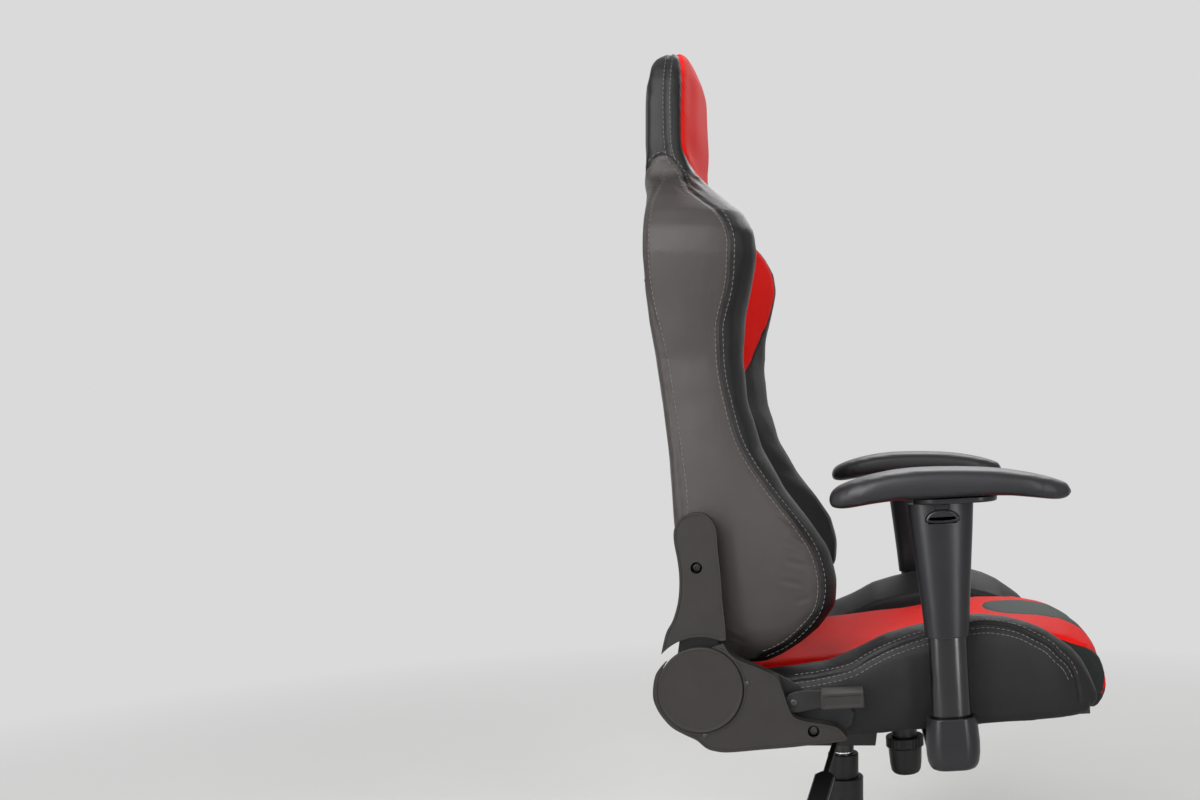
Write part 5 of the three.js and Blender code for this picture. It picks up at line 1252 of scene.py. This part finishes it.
def sleeves(at_post):
    """The flared sleeve with its flange, the recess of its button and the tab above it"""
    sleeve = drawn_up("sleeve", SLEEVE_LEVELS, oval=True)
    flange = put(drawn_up("flange", FLANGE_LEVELS), Matrix.Translation((FLANGE_SHIFT, 0, 0)))
    recess = button_outline(BUTTON_GROW, BUTTON_EDGE)
    cut_by(sleeve, plate("recess", recess, BUTTON_WELL, SLEEVE_OUTER * 2))
    tab_low = BUTTON_Z + BUTTON_HEIGHT + TAB_GAP
    slot_low = (-TAB_HALF - TAB_GAP, -SLEEVE_OUTER * 2, tab_low)
    cut_by(sleeve, block("slot", slot_low, (TAB_HALF + TAB_GAP, TAB_SEAT, TAB_OPEN)))
    tab = block("tab", (-TAB_HALF, TAB_FACE, tab_low), (TAB_HALF, TAB_SEAT + EDGE_ROUND, TAB_TOP))
    arm = joined("arm", rounded(sleeve), rounded(flange, FLANGE_ROUND), rounded(tab, TAB_GAP))
    paired(put(arm, at_post, SEAT_FRAME), "sleeve_{}", "arm_plastic", "armrest_{}", "armrest_sleeve_{}")


def finger_buttons(at_post):
    """The button that releases the sleeve, with a raised edge"""
    button = plate("button", button_outline(), BUTTON_BACK, BUTTON_FACE)
    bpy.ops.object.mode_set(mode="EDIT")
    choose(button, lambda part: part.normal.y < -FACING)
    bpy.ops.mesh.inset(thickness=BUTTON_EDGE * 2, depth=BUTTON_EDGE)
    bpy.ops.mesh.inset(thickness=BUTTON_EDGE * 1.5, depth=-BUTTON_EDGE)
    closed(button)
    put(rounded(button, BUTTON_EDGE), at_post, SEAT_FRAME)
    paired(button, "finger_button_{}", "arm_plastic", "button_{}", "armrest_button_{}")


# Rigid pieces: under the seat


def turn_step(place, steps):
    """Which of so many equal steps round the Z axis a place lies in"""
    return round((math.atan2(place.y, place.x) / math.tau + 1) * steps - 0.5)


def tension_knob():
    """A finely ribbed collar over a plain faceted grip"""
    collar = spun("collar", KNOB_COLLAR, KNOB_TEETH)
    bpy.ops.object.mode_set(mode="EDIT")
    choose(collar, lambda part: abs(part.normal.z) < 0.2 and part.center.xy.length > KNOB_RIB_INSIDE
           and turn_step(part.center, KNOB_TEETH) % 4 < 2)
    bpy.ops.mesh.extrude_region_shrink_fatten(TRANSFORM_OT_shrink_fatten={"value": -KNOB_RIB_DEPTH})
    closed(collar)
    smooth(collar)
    grip = rounded(spun("grip", KNOB_GRIP, KNOB_FACETS), KNOB_ROUND)
    knob = put(joined("tension_grip", collar, grip), Matrix.Translation((TENSION_X, 0, 0)), SEAT_FRAME)
    finished(knob, "black_nylon", "knob", "tension_knob")


def tube_profile(low, high, inside, outside, foot):
    """The outline of a telescopic cover: foot flange, wall, rolled lip, open middle"""
    return [(inside, low), (foot, low), (foot, low + LIP), (outside, low + LIP * 1.4),
            (outside, high - LIP * 0.6), (outside - LIP * 0.15, high - LIP * 0.2),
            (outside - LIP * 0.5, high), (inside, high)]


def gas_lift():
    """The chrome tube with a dark knurled band at its top, and the three telescopic covers over it"""
    axis = Matrix.Translation((LIFT_X, 0, 0))
    low = tube_low.z
    high = tube_high.z
    profile = [(CHROME_BORE, low), (CHROME_RADIUS, low), (CHROME_RADIUS, high), (CHROME_BORE, high)]
    tube = put(rounded(spun("tube", profile), LIP / 4), axis)
    finished(tube, "chrome", "mechanism", "lift_chrome_tube").name = "chrome_tube"
    profile = [(CHROME_RADIUS, BAND_LOW), (BAND_RADIUS, BAND_LOW + LIP / 6), (BAND_RADIUS, BAND_HIGH),
               (CHROME_RADIUS, BAND_HIGH)]
    finished(put(spun("knurled_band", profile), axis), "black_nylon", "mechanism", material=KNURLED)
    for name, inside, outside, foot, body in LIFT_COVERS:
        cover_low, cover_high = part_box(f"lift_cover_{name}")
        cover = spun("cover", tube_profile(cover_low.z, cover_high.z, inside, outside, foot))
        put(rounded(cover, LIP / 6), axis)
        finished(cover, "black_nylon", body, f"lift_cover_{name}").name = f"telescopic_cover_{name}"


def caster_wheels():
    """Twin wheels, modelled once: rounded tread, dished face with spokes, hub cap"""
    shape = [(WHEEL_RADIUS * across, WHEEL_HALF * up) for across, up in WHEEL_SHARES]
    wheel = spun("wheel", [(WHEEL_BORE, -WHEEL_HALF), *shape, (WHEEL_BORE, shape[-1][1])])
    inner, outer = SPOKE_RING
    bpy.ops.object.mode_set(mode="EDIT")
    choose(wheel, lambda part: part.normal.z > FACING and inner < part.center.xy.length < outer
           and turn_step(part.center, ROUND_SIDES) % SPOKE_PITCH < SPOKE_WIDTH)
    bpy.ops.mesh.extrude_region_move(TRANSFORM_OT_translate={"value": (0, 0, SPOKE_RISE)})
    closed(wheel)
    rounded(wheel, WHEEL_HALF / 14, 2)
    for number in range(1, CASTERS + 1):
        places = {letter: middle_of(f"caster_wheel_{number}_{letter}") for letter in "ab"}
        for letter, other in ("ab", "ba"):
            out = (places[letter] - places[other]).normalized()
            turn = Vector((0, 0, 1)).rotation_difference(out).to_matrix().to_4x4()
            twin = bpy.data.objects.new(f"wheel_{number}_{letter}", wheel.data.copy())
            bpy.context.scene.collection.objects.link(twin)
            put(twin, turn, Matrix.Translation(places[letter]))
            finished(twin, "wheel_nylon", twin.name, f"caster_wheel_{number}_{letter}")
    bpy.data.objects.remove(wheel)


def middle_of(node):
    """The middle of a solid's box"""
    low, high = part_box(node)
    return (low + high) / 2


# Stitches


def stitch_row(tree, line, offset, cast):
    """Places along a seam's line, shifted sideways: a point on the cover, its normal and the way along"""
    steps = np.hypot(*np.diff(line, axis=0).T)
    reach = np.concatenate([[0], np.cumsum(steps)])
    found = []
    for along in np.arange(STITCH_LENGTH, reach[-1] - STITCH_LENGTH, STITCH_LENGTH + STITCH_GAP):
        x, z = (np.interp(along, reach, line[:, i]) for i in (0, 1))
        ahead = np.array([np.interp(along + STITCH_GAP, reach, line[:, i]) for i in (0, 1)]) - (x, z)
        ahead /= np.linalg.norm(ahead)
        place = (x - ahead[1] * offset, z + ahead[0] * offset)
        hit, normal, _, _ = tree.ray_cast(*cast(place))
        if hit is not None:
            found.append((hit, normal, cast(place + ahead * STITCH_GAP)[0] - cast(place)[0]))
    return found


def stitched(name, places, body):
    """One row or more of stitches as a single piece, each a short rounded thread lying on the cover"""
    points, faces = [], []
    turns = np.arange(STITCH_SIDES) * math.tau / STITCH_SIDES
    ring = np.stack([np.cos(turns), np.sin(turns)], axis=1) * STITCH_RADIUS
    for hit, normal, ahead in places:
        along = (ahead - normal * ahead.dot(normal)).normalized()
        across = normal.cross(along)
        start = len(points)
        for share, size in STITCH_SECTIONS:
            for u, v in ring * size:
                lift = v + STITCH_RADIUS * STITCH_LIFT
                points.append(hit + along * share * STITCH_LENGTH + across * u + normal * lift)
        last = start + (len(STITCH_SECTIONS) - 1) * STITCH_SIDES
        for level in range(start, last, STITCH_SIDES):
            for i in range(STITCH_SIDES):
                a = level + i
                b = level + (i + 1) % STITCH_SIDES
                faces.append((a, b, b + STITCH_SIDES, a + STITCH_SIDES))
        faces.append([start + i for i in reversed(range(STITCH_SIDES))])
        faces.append([last + i for i in range(STITCH_SIDES)])
    mesh = bpy.data.meshes.new(name)
    mesh.from_pydata(points, [], faces)
    mesh.shade_smooth()
    piece = bpy.data.objects.new(name, mesh)
    bpy.context.scene.collection.objects.link(piece)
    dress(piece, THREAD)
    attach(piece, body)
    return piece


def surface_of(piece):
    """The piece's surface, for finding where a ray meets it"""
    faces = [tuple(face.vertices) for face in piece.data.polygons]
    return BVHTree.FromPolygons([Vector(point) for point in corners(piece)], faces)


def back_stitches(back):
    """Double rows beside the wings' front seams and the head's side seams, single rows behind"""
    tree = surface_of(back)
    for side, sign in SIDES.items():
        def cast(place):
            return Vector((HINGE.x + place[0], sign * CAST_FROM, HINGE.z + place[1])), Vector((0, -sign, 0))
        rows = [(WING_SEAM[1:], -ROW_OFFSET), (WING_SEAM[1:], ROW_OFFSET),
                (WING_REAR_SEAM[1:-2], ROW_OFFSET),
                (HEAD_SIDE_SEAM, -ROW_OFFSET), (HEAD_SIDE_SEAM, ROW_OFFSET)]
        places = []
        for line, offset in rows:
            places += stitch_row(tree, lined(line), offset, cast)
        places = [(hit, normal, ahead) for hit, normal, ahead in places if abs(hit.y) > STITCH_INSIDE]
        stitched(f"back_stitches_{side}", places, "back")


def bolster_stitches(bolsters):
    """Rows along the crest of each side of the seat, on both sides of its seam"""
    for bolster, (side, sign) in zip(bolsters, SIDES.items()):
        tree = surface_of(bolster)

        def cast(place):
            return on_seat(place[0], sign * CAST_FROM, place[1]), Vector((0, -sign, 0))
        places = []
        for offset in CREST_ROW_OFFSETS:
            places += stitch_row(tree, lined(BOLSTER_SEAM[2:-1]), offset, cast)
        places = [(hit, normal, ahead) for hit, normal, ahead in places if abs(hit.y) > BOLSTER_INSIDE]
        stitched(f"bolster_stitches_{side}", places, "seat")


# Camera, floor and light


def studio():
    """The photograph's viewing angle over a plain pale floor, in soft light"""
    camera = bpy.data.cameras.new("camera")
    camera.lens = CAMERA_LENS
    camera.shift_x, camera.shift_y = CAMERA_SHIFT
    view = bpy.data.objects.new("camera", camera)
    view.location = CAMERA_PLACE
    view.rotation_euler = (math.pi / 2, 0, 0)
    bpy.context.scene.collection.objects.link(view)
    bpy.context.scene.camera = view
    bpy.context.scene.view_settings.view_transform = "Standard"
    floor_and_room()
    for settings in LAMPS:
        lamp(*settings)


def lamp(name, location, width, height, power):
    """A soft lamp that faces the chair"""
    light = bpy.data.lights.new(name, "AREA")
    light.shape = "RECTANGLE"
    light.size = width
    light.size_y = height
    light.energy = power
    piece = bpy.data.objects.new(name, light)
    piece.location = location
    piece.rotation_euler = (LAMP_TARGET - Vector(location)).to_track_quat("-Z", "Y").to_euler()
    bpy.context.scene.collection.objects.link(piece)


def seen_directly(tree):
    """1 for rays from the camera and for reflections, 0 for the light that falls on the chair"""
    path = tree.nodes.new("ShaderNodeLightPath")
    direct = path.outputs["Is Camera Ray"]
    for other in ("Is Glossy Ray", "Is Transmission Ray"):
        both = tree.nodes.new("ShaderNodeMath")
        both.operation = "MAXIMUM"
        tree.links.new(direct, both.inputs[0])
        tree.links.new(path.outputs[other], both.inputs[1])
        direct = both.outputs[0]
    return direct


def floor_and_room():
    """A pale floor that keeps the chair's shadow and runs out into an evenly pale room"""
    world = bpy.data.worlds.new("room")
    bpy.context.scene.world = world
    world.use_nodes = True
    tree = world.node_tree
    strength = tree.nodes.new("ShaderNodeMapRange")
    strength.inputs["To Min"].default_value = ROOM_LIGHT
    strength.inputs["To Max"].default_value = ROOM_SEEN
    tree.links.new(seen_directly(tree), strength.inputs["Value"])
    background = tree.nodes["Background"]
    background.inputs["Color"].default_value = WHITE
    tree.links.new(strength.outputs[0], background.inputs["Strength"])

    paint = Paint("studio_floor", Roughness=0.9)
    paint.set(Base_Color=paint.mix(paint.noise(3, 2, 0.5), tone(214, 214, 212), tone(222, 222, 221)))
    length = paint.node("ShaderNodeVectorMath", {"operation": "LENGTH"}, {0: paint.place})
    away = Amount(paint, length.outputs["Value"])
    glow = paint.node("ShaderNodeEmission", values={"Color": WHITE, "Strength": ROOM_SEEN})
    fade = ((away - FLOOR_NEAR) / (FLOOR_FAR - FLOOR_NEAR)).held() * Amount(paint, seen_directly(paint.tree))
    shaders = {0: fade, 1: paint.surface.outputs[0], 2: glow.outputs[0]}
    blend = paint.node("ShaderNodeMixShader", values=shaders)
    output = next(node for node in paint.tree.nodes if node.type == "OUTPUT_MATERIAL")
    paint.tree.links.new(blend.outputs[0], output.inputs["Surface"])
    bpy.ops.object.select_all(action="DESELECT")
    bpy.ops.mesh.primitive_plane_add(size=FLOOR_SIZE, location=(0, 0, 0))
    floor = bpy.context.active_object
    floor.name = "floor"
    floor.data.materials.append(paint.material)


studio()
back = back_upholstery()
seat_pad()
bolsters = seat_bolsters()
arm_pads()
back_stitches(back)
bolster_stitches(bolsters)
hinge_cap()
hinge_covers()
recline_lever()
armrests()
tension_knob()
gas_lift()
caster_wheels()
carried_solids(stood_for)
